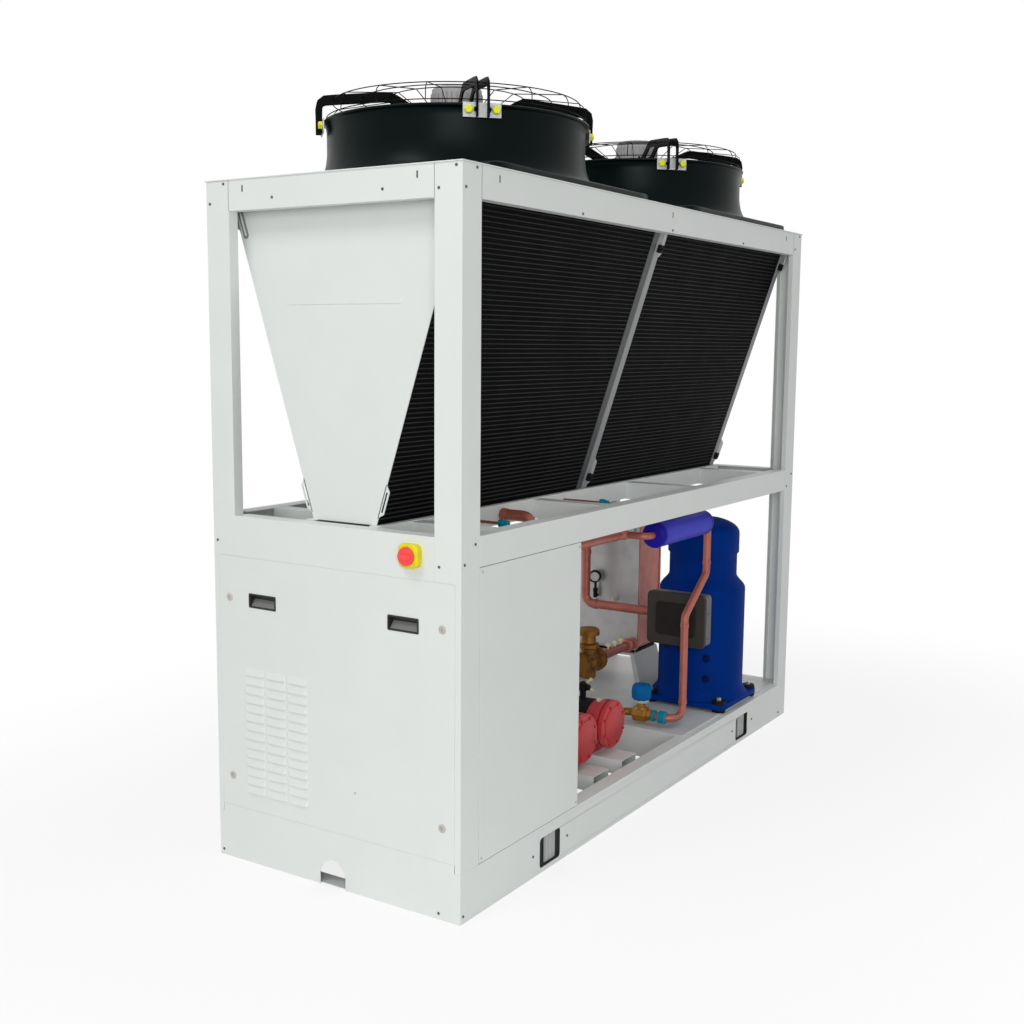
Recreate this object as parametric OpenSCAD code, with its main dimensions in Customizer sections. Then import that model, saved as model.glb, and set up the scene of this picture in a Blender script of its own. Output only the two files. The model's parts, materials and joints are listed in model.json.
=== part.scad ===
// Air cooled water chiller: an open frame with a closed control cabinet at its front end,
// two leaning coil walls over it and two fans on top. Millimetres, front towards -Y, +Z up.
// Lengths along the unit are measured back from the front face and shifted to the origin at the end.

/* [Frame] */
// Width of the frame over its side faces
frame_w = 1010; // [960:10:1100]
// Length of the frame from front face to back face
frame_l = 2730; // [2680:10:2900]
// Height of the frame to the top of the fan deck
frame_h = 2270; // [2220:10:2400]
// Thickness of the folded frame sheet
sheet_t = 3; // [2:0.5:4]
// Width of each leg of a corner post
post_leg = 98; // [90:1:104]
// Depth of the return lips behind the end faces of the posts
post_lip = 40; // [30:1:42]
// Depth of the return lips behind the side faces of the posts
side_lip = 22; // [16:1:24]
// Height of the rails under the fan deck
top_rail_h = 100; // [80:1:120]
// Underside of the side rails at mid height
mid_rail_z = 1092; // [1080:1:1110]
// Height of the side rails at mid height
mid_rail_h = 95; // [85:1:110]
// Height of the base rails
base_h = 160; // [150:1:170]
// Depth of the flanges of the base and mid rails
rail_flange = 60; // [50:1:64]
// Depth of the flanges of the top rails
top_flange = 40; // [30:1:44]

/* [Base] */
// Width of the arched entry in the front base rail
arch_w = 106; // [80:2:140]
// Height of the arched entry
arch_h = 91; // [75:1:110]
// Width of a lifting slot
lift_w = 135; // [100:1:160]
// Height of a lifting slot
lift_h = 104; // [80:1:110]
// Underside of the lifting slots
lift_z = 16; // [12:1:24]
// Distance of the lifting slots from the middle of the unit
lift_reach = 834; // [780:1:860]
// Distance of the lift brackets behind the frame's side faces
lift_depth = 36; // [30:1:40]
// Width of a lift bracket
bracket_w = 60; // [45:1:75]
// Depth of a lift bracket's folded sides
bracket_side = 24; // [16:1:26]
// Width of a rectangular cross tube
tube_w = 118; // [100:1:130]
// Height of a rectangular cross tube
tube_h = 58; // [45:1:70]
// Distance of the first cross tube from the front face
tube_first = 1060; // [1040:1:1080]
// Spacing of the two cross tubes
tube_pitch = 226; // [210:1:240]
// Distance of the cross tubes' ends from the frame's side faces
tube_short = 95; // [85:1:110]
// Width of the foot plates under the ends of the cross tubes
tube_foot = 90; // [70:1:110]
// Start of the compressor deck behind the front face
deck_start = 1640; // [1600:1:1660]
// Depth of the folded edge under the compressor deck
deck_edge = 120; // [80:1:140]
// Thickness of the compressor deck
deck_plate = 5; // [3:0.5:6]

/* [Cabinet and panels] */
// Drop of the door's upper edge below the side rails at mid height
door_drop = 42; // [30:1:60]
// Rise of the door's lower edge above the base rails
door_rise = 28; // [20:1:40]
// Width of the post strip left beside the door
door_margin = 21; // [15:1:30]
// Depth of the door tray
door_depth = 20; // [16:1:24]
// Width of the seams round the panels
seam = 2; // [1:0.5:3]
// Thickness of the panel skins
skin_t = 2; // [1.5:0.5:3]
// End of the side panels behind the front face
panel_end = 712; // [680:1:740]
// Gap between the door's lips and the cabinet behind them
cabinet_gap = 25; // [22:1:35]
// Depth of the side panels from their face to the cabinet
panel_depth = 45; // [42:1:55]
// Width of a handle cup
handle_w = 119; // [90:1:130]
// Height of a handle cup
handle_h = 48; // [36:1:56]
// Depth of a handle cup
handle_depth = 24; // [16:1:28]
// Distance of a handle cup's middle from the door's side edge
handle_edge = 194; // [164:1:240]
// Distance of the handle cups below the door's upper edge
handle_drop = 141; // [100:1:190]
// Corner radius of a handle cup
handle_corner = 4; // [2:0.5:6]
// Width of the rim behind the door skin round a handle cup
handle_rim = 6; // [4:1:9]
// Columns of louvres in the door
louvre_columns = 3; // [1:1:3]
// Rows of louvres in the door
louvre_rows = 14; // [4:1:14]
// Spacing of the louvre columns
louvre_pitch_x = 94; // [88:1:100]
// Spacing of the louvre rows
louvre_pitch_z = 31.3; // [28:0.1:34]
// Length of a louvre
louvre_l = 80; // [60:1:84]
// Height of a louvre hood
louvre_h = 18; // [14:1:22]
// How far a louvre hood stands out of the door
louvre_out = 7; // [5:0.5:9]
// Slant of a louvre's closed ends
louvre_slant = 9; // [4:1:14]
// Distance of the louvre block's middle from the door's left edge
louvre_edge = 243; // [224:1:280]
// Distance of the lowest louvre row above the door's lower edge
louvre_rise = 72; // [52:1:92]

/* [Isolator] */
// Side of the yellow isolator plate
isolator_side = 66; // [56:1:76]
// Thickness of the isolator plate
isolator_t = 22; // [12:1:26]
// Corner radius of the isolator plate
isolator_corner = 6; // [3:1:12]
// Distance of the isolator from the frame's right side
isolator_edge = 180; // [165:1:240]
// Distance of the isolator above the door's upper edge
isolator_rise = 75; // [60:1:90]
// Length of the knob's grip
knob_l = 48; // [40:1:54]
// Width of the knob's grip
knob_w = 24; // [18:1:30]
// Radius of the knob's round foot
knob_r = 21; // [18:0.5:26]
// How far the knob stands out of the plate
knob_out = 28; // [22:1:34]
// Gap behind the turning knob
knob_gap = 1; // [0.5:0.1:2]
// Radius of the knob's spindle
spindle_r = 5; // [4:0.5:7]

/* [Coils] */
// Distance of the end plates behind the end faces of the frame
v_inset = 75; // [66:1:84]
// Half width of the coil walls at their foot
v_foot = 129; // [125:1:140]
// Gap between the coil walls and the frame's sides at the top
v_side_gap = 30; // [24:1:40]
// Gap between the coil walls and the fan deck
v_top_gap = 22; // [12:1:40]
// Thickness of a coil
coil_t = 40; // [30:1:50]
// Gap between the two coils of a side
coil_split = 6; // [4:1:10]
// Width of the grey strips at the coil ends
strip_w = 38; // [28:1:44]
// How far the strips stand out of the coil face
strip_out = 3; // [2:0.5:5]
// Height of the crease across an end plate, above its foot
crease_rise = 600; // [540:1:660]
// Margin of the crease beside the edges of an end plate
crease_margin = 62; // [50:1:80]
// Radius of the pressed crease
crease_r = 2.5; // [1.5:0.5:2.5]
// Length of the slotted ears beside the end plates
ear_l = 108; // [90:1:130]
// How far the slotted ears stand out beside the end plates
ear_out = 16; // [12:1:20]
// Width of the slots in the ears
ear_slot = 7; // [5:0.5:9]
// Distance of the ears from the foot and the head of the end plates
ear_gap = 26; // [16:1:60]
// How far the drip tray reaches beyond the coils' foot
tray_over = 23; // [20:1:31]
// Depth of the drip tray
tray_h = 72; // [60:1:84]
// Width of the tray's inner flanges
tray_flange = 40; // [34:1:50]
// Width of the deck's cross members
cross_w = 60; // [40:1:80]
// Depth of the deck's cross members
cross_h = 70; // [50:1:84]
// Distance of the inner cross members from the middle
cross_inner = 372; // [340:1:400]
// Distance of the outer cross members from the middle
cross_outer = 1110; // [1060:1:1140]

/* [Fans] */
// Thickness of the fan deck sheet
fan_deck_t = 4; // [3:0.5:6]
// Overhang of the fan deck over the rails
fan_deck_over = 4; // [0:1:8]
// Spacing of the two fans
fan_pitch = 1354; // [1200:2:1400]
// Gap between the square cowl plates and the frame's side faces
cowl_margin = 2; // [0:0.5:8]
// Width of a cowl plate beside the cowl's flared foot
cowl_edge = 15; // [8:1:28]
// Thickness of the cowl plate
cowl_plate = 20; // [14:1:26]
// Corner radius of the cowl plate
cowl_corner = 36; // [20:1:60]
// Wall thickness of the cowl
cowl_wall = 6; // [4:0.5:8]
// How far the cowl's foot flares beyond its neck
cowl_flare = 44; // [30:1:50]
// Radius of the rolled bead at the cowl's rim
rim_bead = 4; // [3.5:0.5:5]
// How far the cowl's rim stands out of its neck
cowl_rim = 13; // [8:1:16]
// Height of the cowl above the fan deck
cowl_h = 227; // [210:1:250]
// Gap between the blade tips and the cowl
tip_gap = 10; // [8:0.5:14]
// Radius of the fan hub
hub_r = 118; // [100:1:130]
// Height of the fan hub
hub_h = 92; // [80:1:110]
// Number of blades
blade_count = 5; // [3:1:7]
// Pitch angle of the blades
blade_pitch = 24; // [15:1:28]
// Chord of a blade
blade_chord = 200; // [160:1:220]
// Thickness of a blade
blade_t = 8; // [6:1:12]
// Radius of a blade's hollow
blade_hollow = 340; // [300:5:600]
// Radius of the sweep cut into a blade's trailing edge
blade_sweep = 260; // [240:5:280]
// Radius of the fan motor
motor_r = 86; // [70:1:92]
// Height of the fan motor over its flange
motor_h = 106; // [80:1:120]
// Bevel round the top of the fan motor
motor_bevel = 8; // [3:1:12]
// Gap between the hub and the motor's flange
hub_gap = 6; // [5:0.5:8]
// Bevel round the hub's lower edge
hub_bevel = 10; // [4:1:14]
// Radius of the motor's mounting flange
motor_flange_r = 122; // [112:1:130]
// Thickness of the motor's mounting flange
motor_flange_t = 12; // [8:1:16]
// Radius of the fan shaft
shaft_r = 19; // [14:1:24]
// Height of the motor flange's top above the cowl rim
motor_rise = 21; // [18:1:30]
// Width of a guard arm
arm_w = 42; // [34:1:50]
// Depth of a guard arm
arm_depth = 28; // [24:1:32]
// Thickness of each flat bar of a guard arm
arm_t = 6; // [4:0.5:8]
// Height of a guard arm's outer bend above the cowl rim
arm_rise = 74; // [66:1:84]
// Height of a guard arm's crown above its outer bend
arm_crown = 28; // [18:1:36]
// Thickness of a guard arm's leg along the cowl rim
arm_leg = 20; // [14:1:26]
// Distance of a guard arm's dip beside the motor's flange
arm_dip = 36; // [28:1:44]
// Height of a guard arm's dip over its inner end
arm_step = 12; // [6:1:18]
// Gap between the inner wire ring and the motor's flange
ring_gap = 12; // [8:1:16]
// Number of wire rings in a guard
ring_count = 7; // [4:1:9]
// Number of radial wires between two guard arms
spoke_count = 3; // [1:1:4]
// Side of the square guard wire
wire_t = 5; // [4:0.5:6]
// Length of a clamp plate at the cowl rim
clamp_l = 122; // [100:1:140]
// Height of a clamp plate
clamp_h = 45; // [36:1:52]
// Thickness of a clamp plate
clamp_t = 4; // [3:0.5:6]

/* [Machinery] */
// Distance of the compressor's axis from the frame's right side
compressor_side = 215; // [205:1:235]
// Distance of the compressor's axis behind the front face
compressor_y = 2215; // [2195:1:2235]
// Radius of the compressor's lower shell
compressor_r = 190; // [180:1:195]
// Radius of the compressor's upper shell
compressor_neck = 157; // [145:1:165]
// Height of the compressor
compressor_h = 820; // [790:1:850]
// Height of the compressor's shoulder
shoulder_h = 476; // [440:1:500]
// Radius of the rounded edge of the compressor's top
dome_r = 46; // [30:1:60]
// Height of the weld bead round the compressor's upper shell, below its top
seam_drop = 150; // [120:1:180]
// Radius of that weld bead
seam_r = 3; // [2:0.5:4]
// Side of the compressor's foot plate
foot_side = 400; // [380:1:410]
// Thickness of the compressor's foot plate
foot_t = 22; // [14:1:30]
// Corner radius of the compressor's foot plate
foot_corner = 40; // [20:1:60]
// Height of the rubber feet under the foot plate
pad_h = 14; // [8:1:20]
// Radius of the rubber feet
pad_r = 26; // [20:1:32]
// Distance of the rubber feet from the foot plate's edges
pad_inset = 34; // [30:1:44]
// Distance of the suction port beside the compressor's axis
suction_reach = 163; // [155:1:163]
// How much wider the suction port is than its line
port_wall = 6; // [4:0.5:8]
// Width of the terminal box
terminal_w = 276; // [250:1:290]
// Depth of the terminal box
terminal_d = 80; // [60:1:86]
// Height of the terminal box
terminal_h = 233; // [200:1:240]
// Thickness of the terminal box's lid
terminal_lid = 36; // [24:1:44]
// Step between the terminal box and its lid
terminal_step = 4; // [2:0.5:6]
// Corner radius of the terminal box's lid
terminal_corner = 16; // [8:1:24]
// Margin of the raised panel on the lid
terminal_margin = 44; // [30:1:60]
// Rise of the raised panel on the lid
terminal_raise = 5; // [2:0.5:6]
// Margin of the neck between the terminal box and the compressor
terminal_neck = 52; // [40:1:70]
// Underside of the terminal box above the compressor deck
terminal_rise = 295; // [275:1:305]
// Front of the terminal box behind the front face
terminal_y = 1930; // [1915:1:1940]
// Distance of the exchanger's right edge from the compressor's axis
exchanger_gap = 290; // [280:1:300]
// Width of the plate heat exchanger
exchanger_w = 330; // [300:1:340]
// Corner radius of the exchanger's cover plates
exchanger_corner = 30; // [16:1:44]
// Step between the cover plates and the plate pack
exchanger_step = 4; // [2:0.5:6]
// Depth of the plate heat exchanger
exchanger_d = 214; // [180:1:240]
// Height of the plate heat exchanger
exchanger_h = 610; // [560:1:640]
// Thickness of the exchanger's cover plates
exchanger_cover = 10; // [6:1:14]
// Front of the plate heat exchanger behind the front face
exchanger_y = 2163; // [2140:1:2190]
// Height of the stand under the exchanger
stand_h = 185; // [160:1:200]
// Height of the black pad on the stand
stand_pad = 12; // [8:1:16]
// Wall thickness of the stand
stand_wall = 12; // [8:1:16]
// How far the stand's foot spreads beyond the exchanger
stand_spread = 30; // [20:1:40]
// How far the stand's head stays inside the exchanger
stand_inset = 20; // [14:1:30]
// How far the stand reaches beyond the exchanger's covers
stand_over = 14; // [8:1:20]
// Radius of the muffler
muffler_r = 52; // [44:1:56]
// Length of the muffler
muffler_l = 480; // [440:1:500]
// Distance of the muffler from the frame's right side
muffler_side = 105; // [95:1:115]
// Bevel round the muffler's ends
muffler_bevel = 12; // [8:1:16]
// Start of the muffler behind the front face
muffler_y = 1474; // [1460:1:1480]
// Distance of the muffler's axis below the side rails
muffler_drop = 80; // [72:1:92]
// Outer radius of the hot gas and suction lines
line_r = 20; // [16:1:22]
// Outer radius of the liquid line
liquid_r = 16; // [13:1:18]
// Radius of the pipe bends
bend_r = 46; // [40:1:50]
// How far the brazed sockets stand out of the liquid line
socket_out = 1; // [0.5:0.5:3]
// Half length of the brazed sockets
socket_half = 9; // [6:1:12]
// Radius of a red drier shell
drier_r = 84; // [76:1:88]
// Length of a red drier shell
drier_l = 240; // [200:1:260]
// Radius of a drier shell's end flange
drier_flange_r = 95; // [90:1:98]
// Thickness of the flange discs of a drier shell
drier_flange_t = 18; // [12:1:20]
// Gap between the flange discs
drier_joint = 8; // [5:1:10]
// Bevel round a drier shell's inner end
drier_bevel = 18; // [10:1:24]
// Rounding of the outer flange disc
drier_edge = 4; // [2:0.5:6]
// Distance of the drier shells' outer ends from the frame's right side
drier_side = 165; // [155:1:185]
// Height of the saddles under the drier shells
saddle_h = 24; // [16:1:40]
// Length of a saddle
saddle_l = 130; // [110:1:140]
// Distance of a saddle from the shell's inner end
saddle_gap = 40; // [30:1:46]
// Distance of the expansion valve from the frame's right side
valve_side = 205; // [195:1:215]
// Height of the expansion valve's axis above the compressor deck
valve_rise = 42; // [40:1:50]
// Radius of the expansion valve's body
expansion_r = 32; // [26:1:36]
// Length of the expansion valve's body
expansion_l = 60; // [52:1:70]
// Radius of the nut on the expansion valve's inlet
inlet_nut_r = 23; // [20:1:26]
// Length of that nut
inlet_nut_l = 18; // [12:1:22]
// Radius of the expansion valve's stem
stem_r = 20; // [14:1:24]
// Height of that stem above the line
stem_h = 62; // [54:1:70]
// Radius of the round cap on the stem
cap_r = 38; // [30:1:42]
// Height of the round cap
cap_h = 60; // [40:1:64]
// Distance of the outlet line beside the expansion valve
outlet_reach = 52; // [48:1:60]
// Distance of the water valve in front of the exchanger
water_reach = 424; // [380:1:440]
// Height of the water valve's axis above the exchanger's foot
water_rise = 34; // [28:1:44]
// Distance of the water valve from the exchanger's right edge
water_inset = 30; // [26:1:60]
// Radius of the water valve's body
water_r = 42; // [34:1:46]
// Length of the water valve's body
water_l = 120; // [100:1:130]
// Radius of the water valve's end flanges
water_flange_r = 54; // [48:1:58]
// Thickness of the end flanges and of the pipe's union
water_flange_t = 18; // [12:1:22]
// Radius of the water valve's bonnet
bonnet_r = 34; // [26:1:40]
// Height of the bonnet above the line
bonnet_up = 120; // [100:1:130]
// Depth of the bonnet below the line
bonnet_down = 70; // [60:1:80]
// Radius of the bonnet's cap
bonnet_cap_r = 48; // [40:1:52]
// Height of the bonnet's cap
bonnet_cap_h = 30; // [20:1:40]
// Radius of the pipe's union
union_r = 32; // [26:1:38]
// Distance of the union in front of the exchanger
union_gap = 52; // [40:1:80]

/* [Hidden] */
$fn = 96;
slip = 0.3;

half_w = frame_w / 2;
deck_z = frame_h - fan_deck_t;
mid_top = mid_rail_z + mid_rail_h;
front_out = isolator_t + knob_gap + knob_out;
front_y = (front_out - fan_deck_over - frame_l) / 2;
tube_l = frame_w - 2 * tube_short;

// Cabinet end
door_half = half_w - door_margin;
door_top = mid_rail_z - door_drop;
door_bottom = base_h + door_rise;
cabinet_w = frame_w - 2 * panel_depth;
handle_reach = door_half - handle_edge;
handle_z = door_top - handle_drop;
louvre_x = louvre_edge - door_half;
louvre_z = door_bottom + louvre_rise;
isolator_x = half_w - isolator_edge;
isolator_z = door_top + isolator_rise;

// Coil walls: the lean follows from the foot, the frame's width and the frame's height
tray_top = mid_top + sheet_t;
v_rise = deck_z - v_top_gap - tray_top;
v_head = half_w - v_side_gap;
lean = atan((v_head - v_foot) / v_rise);
coil_h = (v_rise - coil_t * sin(lean)) / cos(lean);
tray_half = v_foot + tray_over;
plate_start = v_inset + sheet_t + slip;
coil_run = (frame_l - 2 * plate_start - coil_split) / 2;

// Fan levels
cowl_side = frame_w - 2 * cowl_margin;
cowl_r = cowl_side / 2 - cowl_edge - cowl_flare;
cowl_foot = frame_h + cowl_plate;
rim_z = frame_h + cowl_h;
flange_top = rim_z + motor_rise;
hub_top = flange_top - motor_flange_t - hub_gap;
arm_leg_in = cowl_r + cowl_rim + clamp_t + slip;
arm_leg_out = arm_leg_in + arm_leg;
arm_bend_z = rim_z + arm_rise;
arm_top_r = arm_leg_in / 2;
arm_dip_r = motor_flange_r + arm_dip;
arm_dip_z = flange_top + arm_depth + arm_step;
ring_in = motor_flange_r + ring_gap;

// Machinery places
floor_z = base_h + deck_plate;
compressor_x = half_w - compressor_side;
compressor_foot = floor_z + pad_h;
terminal_z = floor_z + terminal_rise;
terminal_back = terminal_y + terminal_d;
exchanger_x = compressor_x - exchanger_gap;
exchanger_z = floor_z + stand_h;
muffler_x = half_w - muffler_side;
muffler_z = mid_rail_z - muffler_drop;
tube_z = base_h - tube_h;
drier_x = half_w - drier_side;
drier_z = base_h + saddle_h + drier_flange_r;
valve_x = half_w - valve_side;
valve_z = floor_z + valve_rise;
water_x = exchanger_x - water_inset;
water_z = exchanger_z + water_rise;
water_y = exchanger_y - water_reach;

function drier_y(i) = tube_first + i * tube_pitch;
function unit(v) = v / norm(v);
function fan_y(i) = frame_l / 2 + (i - 1.5) * fan_pitch;
function arc(r, from, to, steps) = [for (k = [0:steps]) let (a = from + (to - from) * k / steps) r * [cos(a), sin(a)]];

white = [0.85, 0.87, 0.855];
black = [0.09, 0.11, 0.11];
grey = [0.55, 0.55, 0.55];
copper = [0.73, 0.40, 0.31];
brass = [0.55, 0.38, 0.10];

// Shared shapes

// Puts the front face at its distance from the origin
module placed() translate([0, front_y, 0]) children();

// A shape given for the right side, on the left or right side
module on_side(side) mirror([side < 0 ? 1 : 0, 0, 0]) children();

// A shape given for the front end, at the front or back end
module at_end(back) translate([0, back ? frame_l : 0, 0]) mirror([0, back ? 1 : 0, 0]) children();

module rounded_rect(w, h, r) {
    square([w, h - 2 * r], center = true);
    square([w - 2 * r, h], center = true);
    for (x = [-1, 1], y = [-1, 1]) translate([x * (w / 2 - r), y * (h / 2 - r)]) circle(r);
}

// A drawing in X and Z stood upright and given a depth along Y from y0
module upright(y0, depth) translate([0, y0 + depth, 0]) rotate([90, 0, 0]) linear_extrude(depth) children();

// A drawing in Y and Z given a depth along X from x0
module crosswise(x0, depth) translate([x0, 0, 0]) rotate([90, 0, 90]) linear_extrude(depth) children();

// A round bar from one point to another
module rod(from, to, r) {
    along = unit(to - from);
    side = unit(cross(abs(along.z) < 0.9 ? [0, 0, 1] : [1, 0, 0], along));
    up = cross(along, side);
    multmatrix([[side.x, up.x, along.x, from.x], [side.y, up.y, along.y, from.y],
                [side.z, up.z, along.z, from.z], [0, 0, 0, 1]])
        cylinder(r = r, h = norm(to - from));
}

// A pipe through a list of corners, with round bends at the inner ones
module pipe(points, r, bend) {
    last = len(points) - 1;
    ways = [for (i = [0:last - 1]) unit(points[i + 1] - points[i])];
    turns = [for (i = [1:last - 1]) acos(ways[i - 1] * ways[i])];
    trims = concat([0], [for (turn = turns) bend * tan(turn / 2)], [0]);
    for (i = [0:last - 1])
        rod(points[i] + ways[i] * trims[i], points[i + 1] - ways[i] * trims[i + 1], r);
    for (i = [1:last - 1]) {
        inward = unit(ways[i] - ways[i - 1] * (ways[i - 1] * ways[i]));
        centre = points[i] - ways[i - 1] * trims[i] + inward * bend;
        normal = cross(-inward, ways[i - 1]);
        multmatrix([[-inward.x, ways[i - 1].x, normal.x, centre.x], [-inward.y, ways[i - 1].y, normal.y, centre.y],
                    [-inward.z, ways[i - 1].z, normal.z, centre.z], [0, 0, 0, 1]])
            rotate_extrude(angle = turns[i - 1]) translate([bend, 0]) circle(r);
    }
}

// Frame

// Folded corner section: two legs on the outer faces, each with an inward lip
module post_section() {
    square([post_leg, sheet_t]);
    translate([post_leg - sheet_t, 0]) square([sheet_t, post_lip]);
    post_side();
}

// The leg on the side face with its lip
module post_side() {
    square([sheet_t, post_leg]);
    translate([0, post_leg - sheet_t]) square([side_lip, sheet_t]);
}

// The same corner beside the door: the front leg steps back to let the door lie flush
module rebated_section() {
    square([door_margin, sheet_t]);
    translate([door_margin - sheet_t, 0]) square([sheet_t, door_depth + sheet_t]);
    translate([door_margin - sheet_t, door_depth]) square([post_leg - door_margin + sheet_t, sheet_t]);
    translate([post_leg - sheet_t, door_depth]) square([sheet_t, post_lip - door_depth]);
    post_side();
}

module post(side, back) color(white) placed() at_end(back) on_side(side)
    translate([half_w, 0, base_h]) mirror([1, 0, 0])
        if (back) linear_extrude(deck_z - base_h) post_section();
        else {
            linear_extrude(door_top + seam - base_h) rebated_section();
            translate([0, 0, door_top + seam - base_h]) linear_extrude(deck_z - door_top - seam) post_section();
        }

// Channel section with its web on the outer face at zero and its flanges inward
module channel(h, flange) difference() {
    square([flange, h]);
    translate([sheet_t, sheet_t]) square([flange, h - 2 * sheet_t]);
}

// Channel across the front or back end, between the posts
module end_rail(z, h, flange, back) color(white) placed() at_end(back)
    crosswise(post_leg - half_w, frame_w - 2 * post_leg) translate([0, z]) channel(h, flange);

// Channel along a side, between the posts
module side_rail(z, h, flange, side) color(white) placed() on_side(side)
    translate([half_w, post_leg, 0]) mirror([1, 0, 0])
        upright(0, frame_l - 2 * post_leg) translate([0, z]) channel(h, flange);

// Base frame

module arch() {
    translate([-arch_w / 2, -1]) square([arch_w, arch_h - arch_w / 2 + 1]);
    translate([0, arch_h - arch_w / 2]) circle(arch_w / 2);
}

module base_end(back) color(white) placed() at_end(back) difference() {
    union() {
        upright(0, sheet_t) {
            translate([-half_w, 0]) square([frame_w, base_h]);
            if (!back) translate([seam - door_half, base_h]) square([2 * (door_half - seam), door_bottom - seam - base_h]);
        }
        crosswise(rail_flange - half_w, frame_w - 2 * rail_flange) channel(base_h, rail_flange);
    }
    if (!back) translate([0, -1, 0]) upright(0, rail_flange + 2) arch();
}

module lift_slot() rounded_rect(lift_w, lift_h, 14);

module lift_places() for (s = [-1, 1])
    translate([0, frame_l / 2 + s * lift_reach, lift_z + lift_h / 2]) children();

// Side channel with its lifting slots
module base_side(side) color(white) placed() on_side(side) difference() {
    translate([half_w, sheet_t, 0]) mirror([1, 0, 0])
        upright(0, frame_l - 2 * sheet_t) channel(base_h, rail_flange);
    lift_places() crosswise(half_w - sheet_t - 1, sheet_t + 2) lift_slot();
}

// Upright channel behind the middle of each lifting slot, between the rail's flanges
module lift_brackets() color(grey) placed() for (side = [-1, 1], s = [-1, 1]) on_side(side)
    translate([half_w - lift_depth, frame_l / 2 + s * lift_reach, sheet_t + slip]) mirror([1, 0, 0])
        linear_extrude(base_h - 2 * sheet_t - 2 * slip) difference() {
            translate([0, -bracket_w / 2]) square([bracket_side, bracket_w]);
            translate([sheet_t, sheet_t - bracket_w / 2]) square([bracket_side, bracket_w - 2 * sheet_t]);
        }

// Rectangular tubes across the base, each on two foot plates that reach the side rails
module cross_tubes() color(white) placed() for (i = [0, 1]) translate([0, drier_y(i), tube_z]) {
    translate([0, 0, tube_h / 2]) crosswise(-tube_l / 2, tube_l) difference() {
        square([tube_w, tube_h], center = true);
        square([tube_w - 2 * sheet_t, tube_h - 2 * sheet_t], center = true);
    }
    for (side = [-1, 1]) on_side(side) translate([tube_l / 2 - tube_foot / 2, -tube_w / 2, -sheet_t])
        cube([half_w - sheet_t - slip - tube_l / 2 + tube_foot / 2, tube_w, sheet_t]);
}

// Deck sheet on the side rails, with a folded edge at both ends
module compressor_deck() color(white) placed() {
    deck_l = frame_l - rail_flange - deck_start;
    inner = half_w - rail_flange - seam;
    translate([-inner - rail_flange / 2, deck_start, base_h])
        cube([2 * inner + rail_flange, deck_l, deck_plate]);
    for (y = [deck_start, deck_start + deck_l - deck_plate])
        translate([-inner, y, base_h - deck_edge]) cube([2 * inner, deck_plate, deck_edge]);
}

// Coil deck

module drip_tray() color(white) placed()
    upright(rail_flange, frame_l - 2 * rail_flange) difference() {
        translate([-tray_half, tray_top - tray_h]) square([2 * tray_half, tray_h]);
        translate([sheet_t - tray_half, tray_top - tray_h + sheet_t])
            square([2 * (tray_half - sheet_t), tray_h - 2 * sheet_t]);
        translate([tray_flange - tray_half, tray_top - 2 * sheet_t]) square([2 * (tray_half - tray_flange), 3 * sheet_t]);
    }

module tray_cross_members() color(white) placed()
    for (side = [-1, 1], y = [-cross_outer, -cross_inner, cross_inner, cross_outer])
        on_side(side) translate([0, frame_l / 2 + y, mid_top - cross_h])
            crosswise(tray_half, half_w - rail_flange - tray_half) difference() {
                translate([-cross_w / 2, 0]) square([cross_w, cross_h]);
                translate([sheet_t - cross_w / 2, -1]) square([cross_w - 2 * sheet_t, cross_h - sheet_t + 1]);
            }

// Coil walls

// Local frame of a coil wall: X out of its face, Y along the unit, Z up along the lean
module leaning(side) placed() on_side(side) translate([v_foot, 0, tray_top]) rotate([0, lean, 0]) children();

module coil(side, back) color(black) leaning(side) {
    start = back ? plate_start + coil_run + coil_split + strip_w : plate_start;
    trim = back ? 2 * strip_w : strip_w;
    translate([-coil_t, start, 0]) cube([coil_t, coil_run - trim, coil_h]);
}

// Channel strips that close the coil ends, with the open side towards the plenum
module coil_strips() color(grey) for (side = [-1, 1]) leaning(side) {
    middle = plate_start + coil_run;
    foot_gap = strip_out * tan(lean) + 1;
    for (y = [middle - strip_w, middle + coil_split, middle + coil_split + coil_run - strip_w])
        translate([-coil_t, y, foot_gap]) difference() {
            cube([coil_t + strip_out, strip_w, coil_h - foot_gap]);
            translate([-1, sheet_t, -1]) cube([coil_t - sheet_t, strip_w - 2 * sheet_t, coil_h + 2]);
        }
}

// Slotted ear with cut corners, outward from a straight edge along Y
module ear() difference() {
    polygon([[-sheet_t, -sheet_t], [ear_out, ear_out], [ear_out, ear_l - ear_out], [-sheet_t, ear_l + sheet_t]]);
    translate([(ear_out - ear_slot) / 2 - 1, ear_out + sheet_t]) square([ear_slot, ear_l - 2 * ear_out - 2 * sheet_t]);
}

// Tapered end plate with a pressed crease, between the coil walls, with slotted ears at its corners
module end_plate(back) color(white) placed() at_end(back) {
    top = deck_z - fan_deck_t - tray_top;
    slope = tan(lean);
    crease_half = v_foot + slope * crease_rise - crease_margin;
    translate([0, 0, tray_top]) {
        upright(v_inset, sheet_t) {
            polygon([[-v_foot, 0], [v_foot, 0], [v_foot + slope * top, top], [-v_foot - slope * top, top]]);
            for (side = [0, 1], rise = [ear_gap, coil_h - ear_gap - ear_l])
                mirror([side, 0]) translate([v_foot, 0]) rotate(-lean) translate([0, rise]) ear();
        }
        translate([-crease_half, v_inset, crease_rise]) rotate([0, 90, 0]) cylinder(r = crease_r, h = 2 * crease_half);
    }
}

// Fans

module fan_places(i) placed() translate([0, fan_y(i), 0]) children();

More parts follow.
